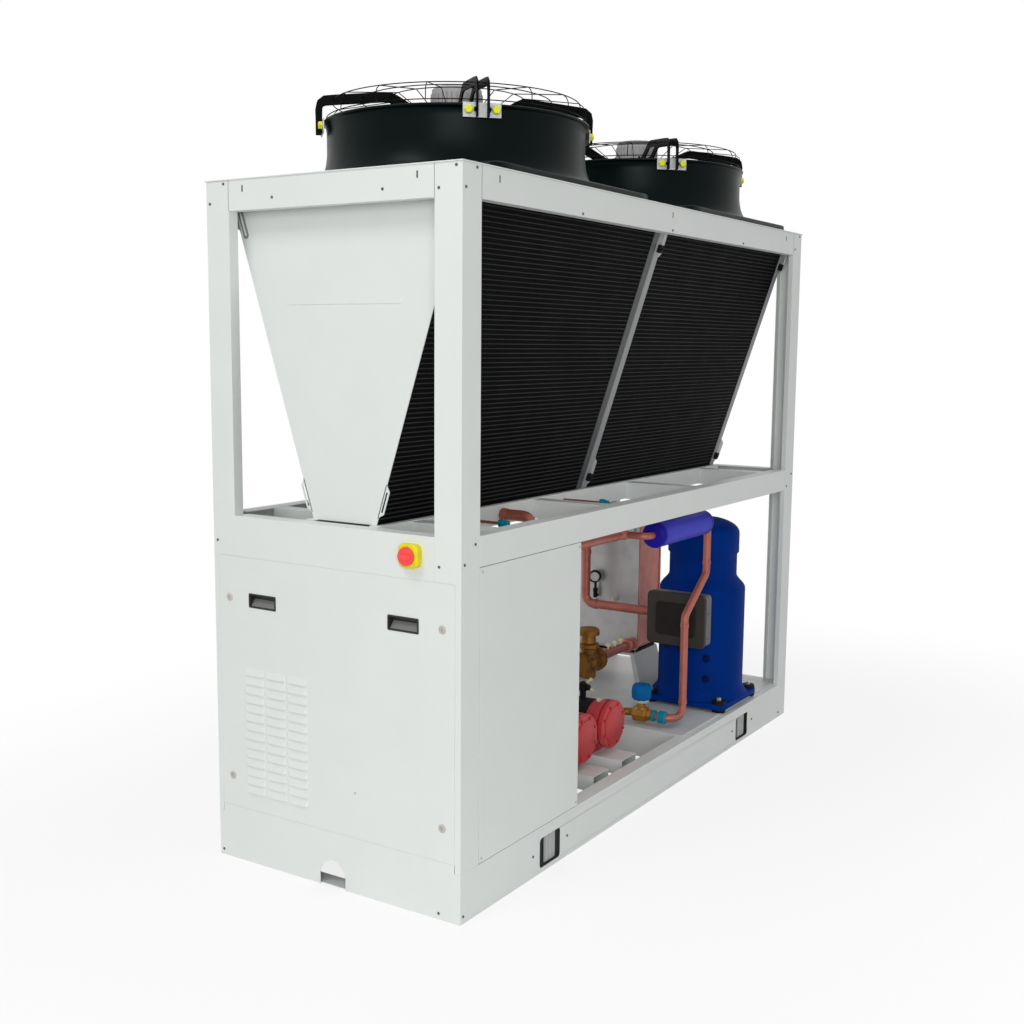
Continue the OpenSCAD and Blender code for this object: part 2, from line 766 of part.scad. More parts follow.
// Deck sheets over the rails, one for each fan, with a seam between them
module fan_deck() color(white) placed() for (i = [1, 2]) difference() {
    translate([-half_w - fan_deck_over, i == 1 ? -fan_deck_over : (frame_l + seam) / 2, deck_z])
        cube([frame_w + 2 * fan_deck_over, (frame_l - seam) / 2 + fan_deck_over, fan_deck_t]);
    translate([0, fan_y(i), deck_z - 1]) cylinder(r = cowl_r + cowl_flare - cowl_wall, h = fan_deck_t + 2);
}

// Outer line of the cowl wall from its flared foot up to its rolled rim, as [radius, height]
function cowl_line() = concat(
    [for (p = arc(cowl_flare, 270, 180, 8)) [cowl_r + cowl_flare + p.x, cowl_foot + cowl_flare + p.y]],
    [for (p = arc(cowl_rim, 0, 60, 4)) [cowl_r + cowl_rim - p.x, rim_z - cowl_rim + p.y]]);

module cowl(i) color(black) fan_places(i) {
    line = cowl_line();
    difference() {
        translate([0, 0, frame_h]) linear_extrude(cowl_plate) rounded_rect(cowl_side, cowl_side, cowl_corner);
        translate([0, 0, frame_h - 1]) cylinder(r = cowl_r + cowl_flare - cowl_wall, h = cowl_plate + 2);
    }
    rotate_extrude() {
        polygon(concat([[cowl_r + cowl_flare - cowl_wall, frame_h], [cowl_r + cowl_flare, frame_h]],
            line, [for (k = [len(line) - 1:-1:0]) line[k] - [cowl_wall, 0]]));
        translate([cowl_r + cowl_rim - rim_bead, rim_z - rim_bead]) circle(rim_bead);
    }
}

// Height of the guard's middle line over its radius
function guard_z(r) = lookup(r, [
    [motor_flange_r, flange_top + arm_depth / 2], [arm_dip_r, arm_dip_z - arm_depth / 2],
    [arm_top_r, arm_bend_z + arm_crown - arm_depth / 2], [arm_leg_out, arm_bend_z - arm_depth / 2]]);

// Side view of a guard arm from the cowl rim over the crown to the motor flange, given its depth
module arm_outline(depth) polygon([
    [arm_leg_out, rim_z - clamp_h], [arm_leg_out, arm_bend_z], [arm_top_r, arm_bend_z + arm_crown],
    [arm_dip_r, arm_dip_z], [motor_r + 2, flange_top + depth],
    [motor_r + 2, flange_top], [arm_dip_r + 4, arm_dip_z - depth],
    [arm_top_r + 4, arm_bend_z + arm_crown - depth], [arm_leg_in, arm_bend_z - depth], [arm_leg_in, rim_z - clamp_h]]);

// Guard arm of two upright flat bars side by side
module arm() for (s = [-1, 1]) upright(s * (arm_w - arm_t) / 2 - arm_t / 2, arm_t) arm_outline(arm_depth);

module guard(i) color(black) fan_places(i) {
    step = (cowl_r - ring_in) / (ring_count - 1);
    for (a = [45:90:315]) rotate(a) arm();
    for (k = [0:ring_count - 1]) let (r = ring_in + k * step)
        translate([0, 0, guard_z(r)]) rotate_extrude() translate([r, 0]) square(wire_t, center = true);
    for (a = [45:90:315], k = [1:spoke_count])
        rotate(a + 90 * k / (spoke_count + 1)) spoke(ring_in, cowl_r + wire_t / 2);
}

// Radial wire along the guard's middle line
module spoke(from, to) {
    stops = [from, arm_dip_r, arm_top_r, to];
    upright(-wire_t / 2, wire_t) polygon(concat(
        [for (r = stops) [r, guard_z(r) - wire_t / 2]],
        [for (k = [3:-1:0]) [stops[k], guard_z(stops[k]) + wire_t / 2]]));
}

// Motor body over its mounting flange, with the shaft that carries the hub
module motor(i) color(grey) fan_places(i) {
    translate([0, 0, flange_top - motor_flange_t]) cylinder(r = motor_flange_r, h = motor_flange_t);
    rotate_extrude() polygon([[0, flange_top], [motor_r, flange_top], [motor_r, flange_top + motor_h - motor_bevel],
        [motor_r - motor_bevel, flange_top + motor_h], [0, flange_top + motor_h]]);
    translate([0, 0, hub_top - hub_h]) cylinder(r = shaft_r, h = flange_top - motor_flange_t - hub_top + hub_h);
}

// Plan outline of a blade between the hub and the tip, with a hollow trailing edge
module blade_plan(tip) intersection() {
    circle(tip);
    difference() {
        translate([0, -blade_chord / 2]) square([2 * tip, blade_chord]);
        translate([(hub_r + tip) / 2, blade_chord / 3 + blade_sweep]) circle(blade_sweep);
    }
}

// A cambered blade: part of a tube along the blade, pitched and cut to its plan
module blade(tip) intersection() {
    translate([0, 0, -hub_h]) linear_extrude(2 * hub_h) blade_plan(tip);
    translate([hub_r / 2, 0, 0]) rotate([blade_pitch, 0, 0]) translate([0, 0, -blade_hollow]) rotate([0, 90, 0])
        difference() {
            cylinder(r = blade_hollow + blade_t / 2, h = tip);
            translate([0, 0, -1]) cylinder(r = blade_hollow - blade_t / 2, h = tip + 2);
        }
}

module impeller(i) color(black) fan_places(i) {
    tip = cowl_r - cowl_wall - tip_gap;
    middle = hub_top - hub_h / 2;
    difference() {
        union() {
            rotate_extrude() polygon([[0, hub_top - hub_h], [hub_r - hub_bevel, hub_top - hub_h],
                [hub_r, hub_top - hub_h + hub_bevel], [hub_r, hub_top], [0, hub_top]]);
            for (k = [0:blade_count - 1]) translate([0, 0, middle]) rotate(k * 360 / blade_count) blade(tip);
        }
        translate([0, 0, hub_top - hub_h - 1]) cylinder(r = shaft_r + slip, h = hub_h + 2);
    }
}

// Clamp plates that hold the guard arms against the cowl rims
module fan_clamps() color(grey) for (i = [1, 2], a = [45:90:315]) fan_places(i) rotate(a)
    translate([arm_leg_in - clamp_t, -clamp_l / 2, rim_z - clamp_h]) cube([clamp_t, clamp_l, clamp_h]);

// Cabinet and panels

module control_cabinet() color(white) placed()
    translate([-cabinet_w / 2, door_depth + cabinet_gap, base_h])
        cube([cabinet_w, panel_end - door_depth - cabinet_gap, door_top - seam - base_h]);

// Sheet tray: a skin with returned edges, its face at zero
module tray(w, h, depth) difference() {
    cube([w, depth, h]);
    translate([skin_t, skin_t, skin_t]) cube([w - 2 * skin_t, depth, h - 2 * skin_t]);
}

module handle_places() for (s = [-1, 1]) translate([s * handle_reach, 0, handle_z]) children();

module louvre_places() for (c = [0:louvre_columns - 1], r = [0:louvre_rows - 1])
    translate([louvre_x + (c - (louvre_columns - 1) / 2) * louvre_pitch_x, 0, louvre_z + r * louvre_pitch_z]) children();

// A louvre's outer form: a wedge that leans out of the skin, with slanted ends
module louvre_form(l) intersection() {
    crosswise(-l / 2, l) polygon([[0, louvre_h / 2], [-louvre_out, -louvre_h / 2], [0, -louvre_h / 2]]);
    translate([0, 0, -louvre_h]) linear_extrude(2 * louvre_h) polygon([[-l / 2, 0], [l / 2, 0],
        [l / 2 - louvre_slant, -louvre_out], [louvre_slant - l / 2, -louvre_out]]);
}

// Pressed louvre: a hood that is open along its lower edge
module louvre_hood() difference() {
    louvre_form(louvre_l);
    translate([0, skin_t, -skin_t]) louvre_form(louvre_l - 2 * skin_t);
}

module front_panel() color(white) placed() {
    difference() {
        translate([seam - door_half, 0, door_bottom]) tray(2 * (door_half - seam), door_top - door_bottom, door_depth);
        handle_places() translate([0, -1, 0]) upright(0, skin_t + 2) rounded_rect(handle_w, handle_h, handle_corner);
        louvre_places() translate([louvre_slant / 2 + skin_t - louvre_l / 2, -1, -louvre_h / 2])
            cube([louvre_l - 2 * skin_t - louvre_slant, skin_t + 2, louvre_h - 3 * skin_t]);
    }
    louvre_places() louvre_hood();
}

// Handle cups behind the door skin, each with a rim against its back
module panel_handles() color([0.25, 0.25, 0.25]) placed() handle_places() difference() {
    union() {
        upright(skin_t, skin_t) rounded_rect(handle_w + 2 * handle_rim, handle_h + 2 * handle_rim, handle_rim);
        upright(skin_t, handle_depth) rounded_rect(handle_w, handle_h, handle_corner);
    }
    upright(skin_t - 1, handle_depth - skin_t + 1)
        rounded_rect(handle_w - 2 * skin_t, handle_h - 2 * skin_t, handle_corner - 1);
}

module side_panel(side) color(white) placed() on_side(side)
    translate([half_w, post_leg + seam, base_h + seam]) rotate(90)
        tray(panel_end - post_leg - seam, mid_rail_z - base_h - 2 * seam, half_w - cabinet_w / 2);

// Isolator

module isolator_plate() color([0.88, 0.84, 0.12]) placed() translate([isolator_x, 0, isolator_z]) {
    upright(-isolator_t, isolator_t) rounded_rect(isolator_side, isolator_side, isolator_corner);
    rotate([90, 0, 0]) cylinder(r = spindle_r, h = isolator_t + knob_out / 2);
}

module isolator_knob() color([0.85, 0.2, 0.2]) placed() translate([isolator_x, -isolator_t - knob_gap, isolator_z])
    difference() {
        union() {
            rotate([90, 0, 0]) cylinder(r = knob_r, h = knob_out / 2);
            upright(-knob_out, knob_out) rounded_rect(knob_l, knob_w, knob_w / 2 - 0.5);
        }
        translate([0, 1, 0]) rotate([90, 0, 0]) cylinder(r = spindle_r + slip, h = knob_out / 2 + 1);
    }

// Machinery

// Scroll compressor: lower shell, shoulder, narrower upper shell and dome, on a foot plate with pads
module compressor() color([0.0, 0.19, 0.5]) placed() translate([compressor_x, compressor_y, 0]) {
    shoulder_z = floor_z + shoulder_h;
    top = floor_z + compressor_h;
    neck_w = terminal_w - 2 * terminal_neck;
    pad_reach = foot_side / 2 - pad_inset;
    rotate_extrude() {
        polygon(concat(
            [[0, compressor_foot], [compressor_r, compressor_foot], [compressor_r, shoulder_z]],
            [for (p = arc(compressor_r - compressor_neck, 0, 90, 4)) [compressor_neck + p.x, shoulder_z + 2 * p.y]],
            [for (p = arc(dome_r, 0, 90, 5)) [compressor_neck - dome_r + p.x, top - dome_r + p.y]],
            [[0, top]]));
        translate([compressor_neck, top - seam_drop]) circle(seam_r);
    }
    translate([0, 0, compressor_foot]) linear_extrude(foot_t) rounded_rect(foot_side, foot_side, foot_corner);
    for (x = [-1, 1], y = [-1, 1]) translate([x * pad_reach, y * pad_reach, floor_z]) cylinder(r = pad_r, h = pad_h);
    translate([-neck_w / 2, terminal_back - compressor_y, terminal_z + terminal_neck])
        cube([neck_w, compressor_y - terminal_back, terminal_h - 2 * terminal_neck]);
    rod([-suction_reach, 0, suction_port.z], suction_port - [compressor_x, compressor_y, 0], line_r + port_wall);
}

// Where the suction line meets the compressor's port
suction_port = [compressor_x - suction_reach, terminal_back + line_r + bend_r + seam, terminal_z + terminal_h / 2];

module terminal_box() color([0.15, 0.14, 0.13]) placed()
    translate([compressor_x, 0, terminal_z + terminal_h / 2]) {
        upright(terminal_y + terminal_lid, terminal_d - terminal_lid) rounded_rect(
            terminal_w - 2 * terminal_step, terminal_h - 2 * terminal_step, terminal_corner - terminal_step);
        upright(terminal_y + terminal_raise, terminal_lid - terminal_raise)
            rounded_rect(terminal_w, terminal_h, terminal_corner);
        upright(terminal_y, terminal_raise)
            rounded_rect(terminal_w - 2 * terminal_margin, terminal_h - 2 * terminal_margin, terminal_corner);
    }

// Brazed plate pack between two thicker cover plates
module plate_exchanger() color(copper) placed()
    translate([exchanger_x - exchanger_w / 2, 0, exchanger_z + exchanger_h / 2]) {
        for (y = [exchanger_y, exchanger_y + exchanger_d - exchanger_cover])
            upright(y, exchanger_cover) rounded_rect(exchanger_w, exchanger_h, exchanger_corner);
        upright(exchanger_y + exchanger_cover, exchanger_d - 2 * exchanger_cover) rounded_rect(
            exchanger_w - 2 * exchanger_step, exchanger_h - 2 * exchanger_step, exchanger_corner - exchanger_step);
    }

// Tapered stand with a pad on top, under the exchanger
module exchanger_stand() color(grey) placed() translate([exchanger_x - exchanger_w / 2, 0, floor_z]) {
    rise = stand_h - stand_pad;
    foot = exchanger_w / 2 + stand_spread;
    head = exchanger_w / 2 - stand_inset;
    slant = stand_wall * (1 + (foot - head) / rise);
    upright(exchanger_y - stand_over, exchanger_d + 2 * stand_over) difference() {
        polygon([[-foot, 0], [foot, 0], [head, rise], [-head, rise]]);
        polygon([[2 * slant - foot, -1], [foot - 2 * slant, -1],
            [head - slant, rise - stand_wall], [slant - head, rise - stand_wall]]);
    }
    translate([-head, exchanger_y + stand_wall / 2, rise]) cube([2 * head, exchanger_d - stand_wall, stand_pad]);
}

module muffler() color([0.27, 0.25, 0.72]) placed() translate([muffler_x, muffler_y, muffler_z]) rotate([-90, 0, 0])
    rotate_extrude() polygon([[0, 0], [muffler_r - muffler_bevel, 0], [muffler_r, muffler_bevel],
        [muffler_r, muffler_l - muffler_bevel], [muffler_r - muffler_bevel, muffler_l], [0, muffler_l]]);

// Hot gas line from the muffler forward and up to the drip tray's wall under the coils
gas_x = muffler_x - 2.6 * bend_r;
gas_rise_y = panel_end + bend_r;
gas_z = tray_top - tray_h / 2;
module hot_gas_line() color(copper) placed() pipe([
    [muffler_x, muffler_y, muffler_z], [muffler_x, muffler_y - bend_r, muffler_z],
    [gas_x, muffler_y - bend_r, muffler_z], [gas_x, gas_rise_y, muffler_z],
    [gas_x, gas_rise_y, gas_z], [tray_half + slip, gas_rise_y, gas_z]], line_r, bend_r * 0.9);

// Suction line from the exchanger's upper port down and across to the compressor
suction_x = exchanger_x - exchanger_w / 2 - bend_r;
suction_y = suction_port.y - bend_r;
suction_top = exchanger_z + exchanger_h - 2 * bend_r;
module suction_line() color(copper) placed() pipe([
    [suction_x, exchanger_y - slip, suction_top], [suction_x, suction_y, suction_top],
    [suction_x, suction_y, suction_port.z], [suction_port.x, suction_y, suction_port.z], suction_port - [0, slip, 0]],
    line_r, bend_r * 0.9);

// Liquid line from the muffler down past the terminal box to the expansion valve
liquid_back = muffler_y + muffler_l + bend_r;
liquid_front = terminal_y - 3 * bend_r;
valve_y = liquid_front - 2 * bend_r;
jog_way = [0, -0.8, -0.6];
jog_from = [muffler_x, liquid_back, terminal_z + terminal_h + 2 * bend_r];
jog_to = jog_from + jog_way * (liquid_back - liquid_front) / 0.8;
liquid_bend = 0.85 * bend_r;
module liquid_line() color(copper) placed() {
    pipe([[muffler_x, muffler_y + muffler_l + slip, muffler_z], [muffler_x, liquid_back, muffler_z], jog_from, jog_to,
        [muffler_x, liquid_front, valve_z], [muffler_x, valve_y, valve_z], [valve_x + slip, valve_y, valve_z]],
        liquid_r, liquid_bend);
    jog_trim = liquid_bend / 2;
    for (joint = [[jog_from, -jog_way], [jog_from, [0, 0, -1]], [jog_to, jog_way], [jog_to, [0, 0, 1]]])
        let (middle = joint[0] - joint[1] * jog_trim, half = joint[1] * socket_half)
            rod(middle - half, middle + half, liquid_r + socket_out);
}

// Expansion valve: body, round actuator cap and the outlet to the drier shell
drier_port_y = drier_y(1) + drier_flange_r + drier_joint;
body_x = valve_x - inlet_nut_l;
stem_x = body_x - expansion_l / 2;
outlet_x = body_x - expansion_l - outlet_reach;
module expansion_valve() color(brass) placed() translate([0, valve_y, valve_z]) {
    rod([valve_x, 0, 0], [body_x, 0, 0], inlet_nut_r);
    rod([body_x, 0, 0], [body_x - expansion_l, 0, 0], expansion_r);
    rod([stem_x, 0, 0], [stem_x, 0, stem_h], stem_r);
    rod([stem_x, 0, stem_h], [stem_x, 0, stem_h + cap_h], cap_r);
    pipe([[body_x - expansion_l, 0, 0], [outlet_x, 0, 0], [outlet_x, drier_port_y + slip - valve_y, 0]],
        liquid_r, bend_r * 0.8);
}

// Two flanged drier shells across the unit, each on a saddle over a cross tube
disc_2 = drier_l - drier_flange_t;
disc_1 = disc_2 - drier_joint - drier_flange_t;
saddle_w = tube_w - 2 * drier_bevel;
module drier_shells() color([0.68, 0.22, 0.22]) placed() for (i = [0, 1]) {
    translate([drier_x - drier_l, drier_y(i), drier_z]) rotate([0, 90, 0]) rotate_extrude() polygon([
        [0, 0], [drier_r - drier_bevel, 0], [drier_r, drier_bevel], [drier_r, disc_1], [drier_flange_r, disc_1],
        [drier_flange_r, disc_1 + drier_flange_t], [drier_r, disc_1 + drier_flange_t], [drier_r, disc_2],
        [drier_flange_r, disc_2], [drier_flange_r, drier_l - drier_edge],
        [drier_flange_r - drier_edge, drier_l], [0, drier_l]]);
    translate([drier_x - drier_l + saddle_gap, drier_y(i) - saddle_w / 2, base_h])
        cube([saddle_l, saddle_w, drier_z - base_h]);
    if (i == 1) rod([outlet_x, drier_y(i), valve_z], [outlet_x, drier_port_y, valve_z], liquid_r + port_wall);
}

// Water valve on the exchanger's lower port: a brass body on a copper stub
module water_valve() color(brass) placed() translate([water_x, water_y, water_z]) {
    union_y = water_reach - union_gap;
    rod([0, 0, 0], [0, water_reach - slip, 0], line_r);
    rod([0, union_y - water_flange_t, 0], [0, union_y, 0], union_r);
    rod([0, -water_l / 2, 0], [0, water_l / 2, 0], water_r);
    for (y = [-water_l / 2 - water_flange_t, water_l / 2]) rod([0, y, 0], [0, y + water_flange_t, 0], water_flange_r);
    rod([0, 0, -bonnet_down], [0, 0, bonnet_up], bonnet_r);
    rod([0, 0, bonnet_up], [0, 0, bonnet_up + bonnet_cap_h], bonnet_cap_r);
}

post(-1, false);  // post_front_left
post(1, false);  // post_front_right
post(-1, true);  // post_back_left
post(1, true);  // post_back_right
end_rail(frame_h - top_rail_h, top_rail_h - fan_deck_t, top_flange, false);  // top_rail_front
end_rail(frame_h - top_rail_h, top_rail_h - fan_deck_t, top_flange, true);  // top_rail_back
side_rail(frame_h - top_rail_h, top_rail_h - fan_deck_t, top_flange, -1);  // top_rail_left
side_rail(frame_h - top_rail_h, top_rail_h - fan_deck_t, top_flange, 1);  // top_rail_right
end_rail(door_top + seam, mid_top - door_top - seam, rail_flange, false);  // mid_rail_front
end_rail(mid_rail_z, mid_rail_h, rail_flange, true);  // mid_rail_back
side_rail(mid_rail_z, mid_rail_h, rail_flange, -1);  // mid_rail_left
side_rail(mid_rail_z, mid_rail_h, rail_flange, 1);  // mid_rail_right
base_end(false);  // base_rail_front
base_end(true);  // base_rail_back
base_side(-1);  // base_rail_left
base_side(1);  // base_rail_right
lift_brackets();
cross_tubes();
compressor_deck();
drip_tray();
tray_cross_members();
end_plate(false);  // end_plate_front
end_plate(true);  // end_plate_back
coil_strips();
coil(-1, false);  // coil_left_front
coil(-1, true);  // coil_left_back
coil(1, false);  // coil_right_front
coil(1, true);  // coil_right_back
fan_deck();
cowl(1);  // fan_1_cowl
guard(1);  // fan_1_guard
motor(1);  // fan_1_motor
impeller(1);  // fan_1_impeller
cowl(2);  // fan_2_cowl
guard(2);  // fan_2_guard
motor(2);  // fan_2_motor
impeller(2);  // fan_2_impeller
fan_clamps();
control_cabinet();
front_panel();
panel_handles();
side_panel(-1);  // side_panel_left
side_panel(1);  // side_panel_right
isolator_plate();
isolator_knob();
compressor();
terminal_box();
plate_exchanger();
exchanger_stand();
muffler();
hot_gas_line();
suction_line();
liquid_line();
water_valve();
expansion_valve();
drier_shells();
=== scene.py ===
import json
from math import atan2, copysign, cos, pi, radians, sin, sqrt, tan

import bpy
from mathutils import Matrix, Vector


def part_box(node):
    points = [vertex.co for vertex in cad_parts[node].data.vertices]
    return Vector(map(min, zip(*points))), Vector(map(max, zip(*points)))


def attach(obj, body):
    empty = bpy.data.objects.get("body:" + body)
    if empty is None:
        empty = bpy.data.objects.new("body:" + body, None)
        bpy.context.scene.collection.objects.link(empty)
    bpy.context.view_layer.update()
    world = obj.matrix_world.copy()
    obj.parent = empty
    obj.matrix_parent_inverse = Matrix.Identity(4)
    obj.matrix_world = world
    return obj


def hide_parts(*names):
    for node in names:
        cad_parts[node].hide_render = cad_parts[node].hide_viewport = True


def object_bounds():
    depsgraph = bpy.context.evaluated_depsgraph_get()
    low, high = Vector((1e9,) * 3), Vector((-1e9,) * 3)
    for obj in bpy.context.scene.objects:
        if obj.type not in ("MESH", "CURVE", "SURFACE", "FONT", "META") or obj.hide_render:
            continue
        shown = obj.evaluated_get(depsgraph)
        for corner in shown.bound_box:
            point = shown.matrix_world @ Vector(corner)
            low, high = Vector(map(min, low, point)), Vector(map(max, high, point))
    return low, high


# Looks of an air cooled water chiller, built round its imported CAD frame. Metres, front towards -Y, +Z up.
# Places are given as in the CAD source: in millimetres, with the length measured back from the front face.

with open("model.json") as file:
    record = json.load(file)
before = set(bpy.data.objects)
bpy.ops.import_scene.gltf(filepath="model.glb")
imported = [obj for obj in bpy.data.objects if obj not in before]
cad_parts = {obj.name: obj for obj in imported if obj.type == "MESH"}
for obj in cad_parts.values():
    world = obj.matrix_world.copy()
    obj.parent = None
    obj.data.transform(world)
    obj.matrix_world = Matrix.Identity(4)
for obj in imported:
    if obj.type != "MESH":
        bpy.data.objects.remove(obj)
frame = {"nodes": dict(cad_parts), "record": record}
cad_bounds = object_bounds()
nodes = frame["nodes"]
scene = bpy.context.scene
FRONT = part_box("top_rail_front")[0].y
METRE, MILLIMETRE = 1.0, 0.001
ACROSS, ALONG, UP = (1, 0, 0), (0, 1, 0), (0, 0, 1)
FORWARD, DOWN = (0, -1, 0), (0, 0, -1)


def mm(x, back, z):
    """A point from millimetres, with the length measured back from the front face."""
    return Vector((x / 1000, FRONT + back / 1000, z / 1000))


def offset(x, y, z):
    """A step of some millimetres, in metres."""
    return Vector((x, y, z)) / 1000


def shift(x=0, y=0, z=0):
    """A place moved by some millimetres."""
    return Matrix.Translation(offset(x, y, z))


def middle(node):
    """Middle of a CAD piece's box."""
    low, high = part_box(node)
    return (low + high) / 2


def under(node):
    """Point on the floor under the middle of a CAD piece."""
    at = middle(node)
    return Vector((at.x, at.y, 0))


def face_size(node):
    """Width and height of a CAD piece seen from the front, in millimetres."""
    low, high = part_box(node)
    return 1000 * (high.x - low.x), 1000 * (high.z - low.z)


def srgb(*colour):
    """A colour as it is seen on a screen (0 to 255), as linear light."""
    return tuple((c / 255 / 12.92) if c < 11 else ((c / 255 + 0.055) / 1.055) ** 2.4 for c in colour)


# Shaders


class Socket:
    """A shader output that takes part in sums, such as 0.3 + 0.1 * grain. node() adds any other node."""

    def __init__(self, tree, output):
        self.tree = tree
        self.output = output

    def node(self, kind, inputs=None, output=0, **settings):
        """Adds a node: its settings come first, then its inputs."""
        made = self.tree.nodes.new("ShaderNode" + kind)
        for name, value in settings.items():
            setattr(made, name, value)
        for name, value in (inputs or {}).items():
            self.put(made.inputs[name], value)
        return Socket(self.tree, made.outputs[output])

    def put(self, target, value):
        """Sets a node's input, by a link from a socket or as a plain value."""
        if isinstance(value, Socket):
            self.tree.links.new(value.output, target)
        elif isinstance(value, tuple) and target.type == "RGBA":
            target.default_value = (*value[:3], 1.0)
        else:
            target.default_value = value

    def many(self, other):
        """True if a sum with the other value is one of colours or vectors."""
        kinds = [v.output.type for v in (self, other) if isinstance(v, Socket)]
        return isinstance(other, (tuple, Vector)) or any(kind != "VALUE" for kind in kinds)

    def sum(self, operation, first, second):
        """One step of maths, by a Math node for values or a Vector Math node for colours and vectors."""
        if self.many(second if first is self else first):
            first, second = [(v,) * 3 if isinstance(v, (int, float)) else v for v in (first, second)]
            return self.node("VectorMath", {0: first, 1: second}, operation=operation)
        return self.node("Math", {0: first, 1: second}, operation=operation)

    def __add__(self, other):
        return self.sum("ADD", self, other)

    def __radd__(self, other):
        return self.sum("ADD", other, self)

    def __sub__(self, other):
        return self.sum("SUBTRACT", self, other)

    def __rsub__(self, other):
        return self.sum("SUBTRACT", other, self)

    def __mul__(self, other):
        return self.sum("MULTIPLY", self, other)

    def __rmul__(self, other):
        return self.sum("MULTIPLY", other, self)

    def axis(self, name):
        """One of X, Y and Z of a vector."""
        return self.node("SeparateXYZ", {"Vector": self}, output=name)

    def between(self, low, high):
        """This value, set to run from 0 to 1 between two levels."""
        return self.node("MapRange", {"Value": self, "From Min": low, "From Max": high},
                         interpolation_type="SMOOTHSTEP")

    def mix(self, first, second):
        """From the first colour to the second as this value goes from 0 to 1."""
        return self.node("Mix", {"Factor": self, 6: first, 7: second}, output=2, data_type="RGBA")

    def noise(self, size, detail=2.0, stretch=(1, 1, 1)):
        """Soft noise with grains about this many millimetres wide, at the places in this socket."""
        inputs = {"Vector": self * tuple(stretch), "Scale": 1000 / size, "Detail": detail}
        return self.node("TexNoise", inputs)

    def bump(self, height, strength=1.0):
        """A normal from a height in metres."""
        return self.node("Bump", {"Height": height, "Strength": strength, "Distance": 1.0})


def material(name, describe, shine=0.5, **constants):
    """A Principled material: describe(place) gives the inputs that vary, and the rest are constants."""
    made = bpy.data.materials.new(name)
    made.use_nodes = True
    tree = made.node_tree
    shader = tree.nodes["Principled BSDF"]
    place = Socket(tree, tree.nodes.new("ShaderNodeTexCoord").outputs["Object"])
    inputs = {"Specular_IOR_Level": shine, **constants, **describe(place)}
    for key, value in inputs.items():
        place.put(shader.inputs[key.replace("_", " ")], value)
    return made


def darker(colour, share):
    """A colour, plain or from a socket, with this share of its light."""
    return colour * share if isinstance(colour, Socket) else tuple(c * share for c in colour)


def sprayed(place, colour, rough, peel, uneven):
    """A slightly uneven colour and sheen over a fine orange peel."""
    cloud = place.noise(180, 3.0).between(0.3, 0.7)
    return {"Base Color": cloud.mix(darker(colour, 1 - 2 * uneven), colour),
            "Roughness": rough - 0.06 + 0.12 * place.noise(60),
            "Normal": place.bump(place.noise(2.2, 1.0) * peel)}


ORANGE_PEEL = 0.00003


def paint(name, colour, rough=0.4, peel=ORANGE_PEEL, uneven=0.05, **constants):
    """Sprayed paint or enamel of one colour."""
    return material(name, lambda place: sprayed(place, colour, rough, peel, uneven), **constants)


def paint_shaded_in_front(name, border, front, back, rough, **constants):
    """Paint with one colour in front of a plane across the unit and another behind it, where the darker front
    colour is painted shade.
    """
    blur = 0.0004

    def describe(place):
        behind = place.axis("Y").between(border - blur, border + blur)
        return sprayed(place, behind.mix(front, back), rough, ORANGE_PEEL, 0.04)
    return material(name, describe, **constants)


def moulding(name, colour, rough=0.5, grain=0.00004, **constants):
    """Moulded plastic or rubber with a fine grain."""
    def describe(place):
        cloud = place.noise(40).between(0.2, 0.8)
        return {"Base Color": cloud.mix(darker(colour, 0.88), colour),
                "Roughness": rough - 0.05 + 0.1 * place.noise(25),
                "Normal": place.bump(place.noise(0.8) * grain)}
    return material(name, describe, **constants)


def metal(name, colour, tarnish, rough=0.35, stretch=(1, 1, 1), marks=0.5, **constants):
    """Bare metal, drawn or brushed along one way, with darker tarnished clouds."""
    scratch = 0.00004

    def describe(place):
        cloud = place.noise(55, 4.0).between(0.42, 0.72)
        brushed = place.noise(4, 3.0, stretch)
        return {"Base Color": (cloud * marks).mix(colour, tarnish),
                "Roughness": rough - 0.1 + 0.2 * brushed + 0.1 * cloud,
                "Normal": place.bump(brushed * scratch)}
    return material(name, describe, **constants)


def zinc_coat(place):
    """Spangled zinc: flat crystals with a slightly different grey each."""
    spangles = 90.0
    crystal = place.node("TexVoronoi", {"Vector": place, "Scale": spangles}, output="Color")
    grey = crystal.node("SeparateColor", {"Color": crystal})
    return {"Base Color": grey.mix(srgb(176, 178, 180), srgb(196, 198, 200)),
            "Roughness": 0.4 + 0.12 * grey}


def fin_coat(place):
    """Black coated fins: close upright fins between the tubes, a little uneven in their sheen, with painted
    shade darkening the gaps between them.
    """
    pitch, depth = 0.0032, 0.0004
    turn = place.axis("Y") * (2 * pi / pitch)
    fins = turn.node("Math", {0: turn}, operation="SINE")
    # Darker in the gaps between the fins: painted shade.
    return {"Base Color": (0.5 + 0.5 * fins).mix(srgb(3, 3, 4), srgb(10, 10, 11)),
            "Roughness": 0.55 + 0.2 * place.noise(120, 3.0),
            "Normal": place.bump(fins * depth, 0.5)}


COIL_JOINT = FRONT + 1.365
TEAL_SHEEN = (0.82, 1.0, 0.97)
UPRIGHT, SIDEWAYS = (1, 1, 0.05), (0.05, 1, 1)

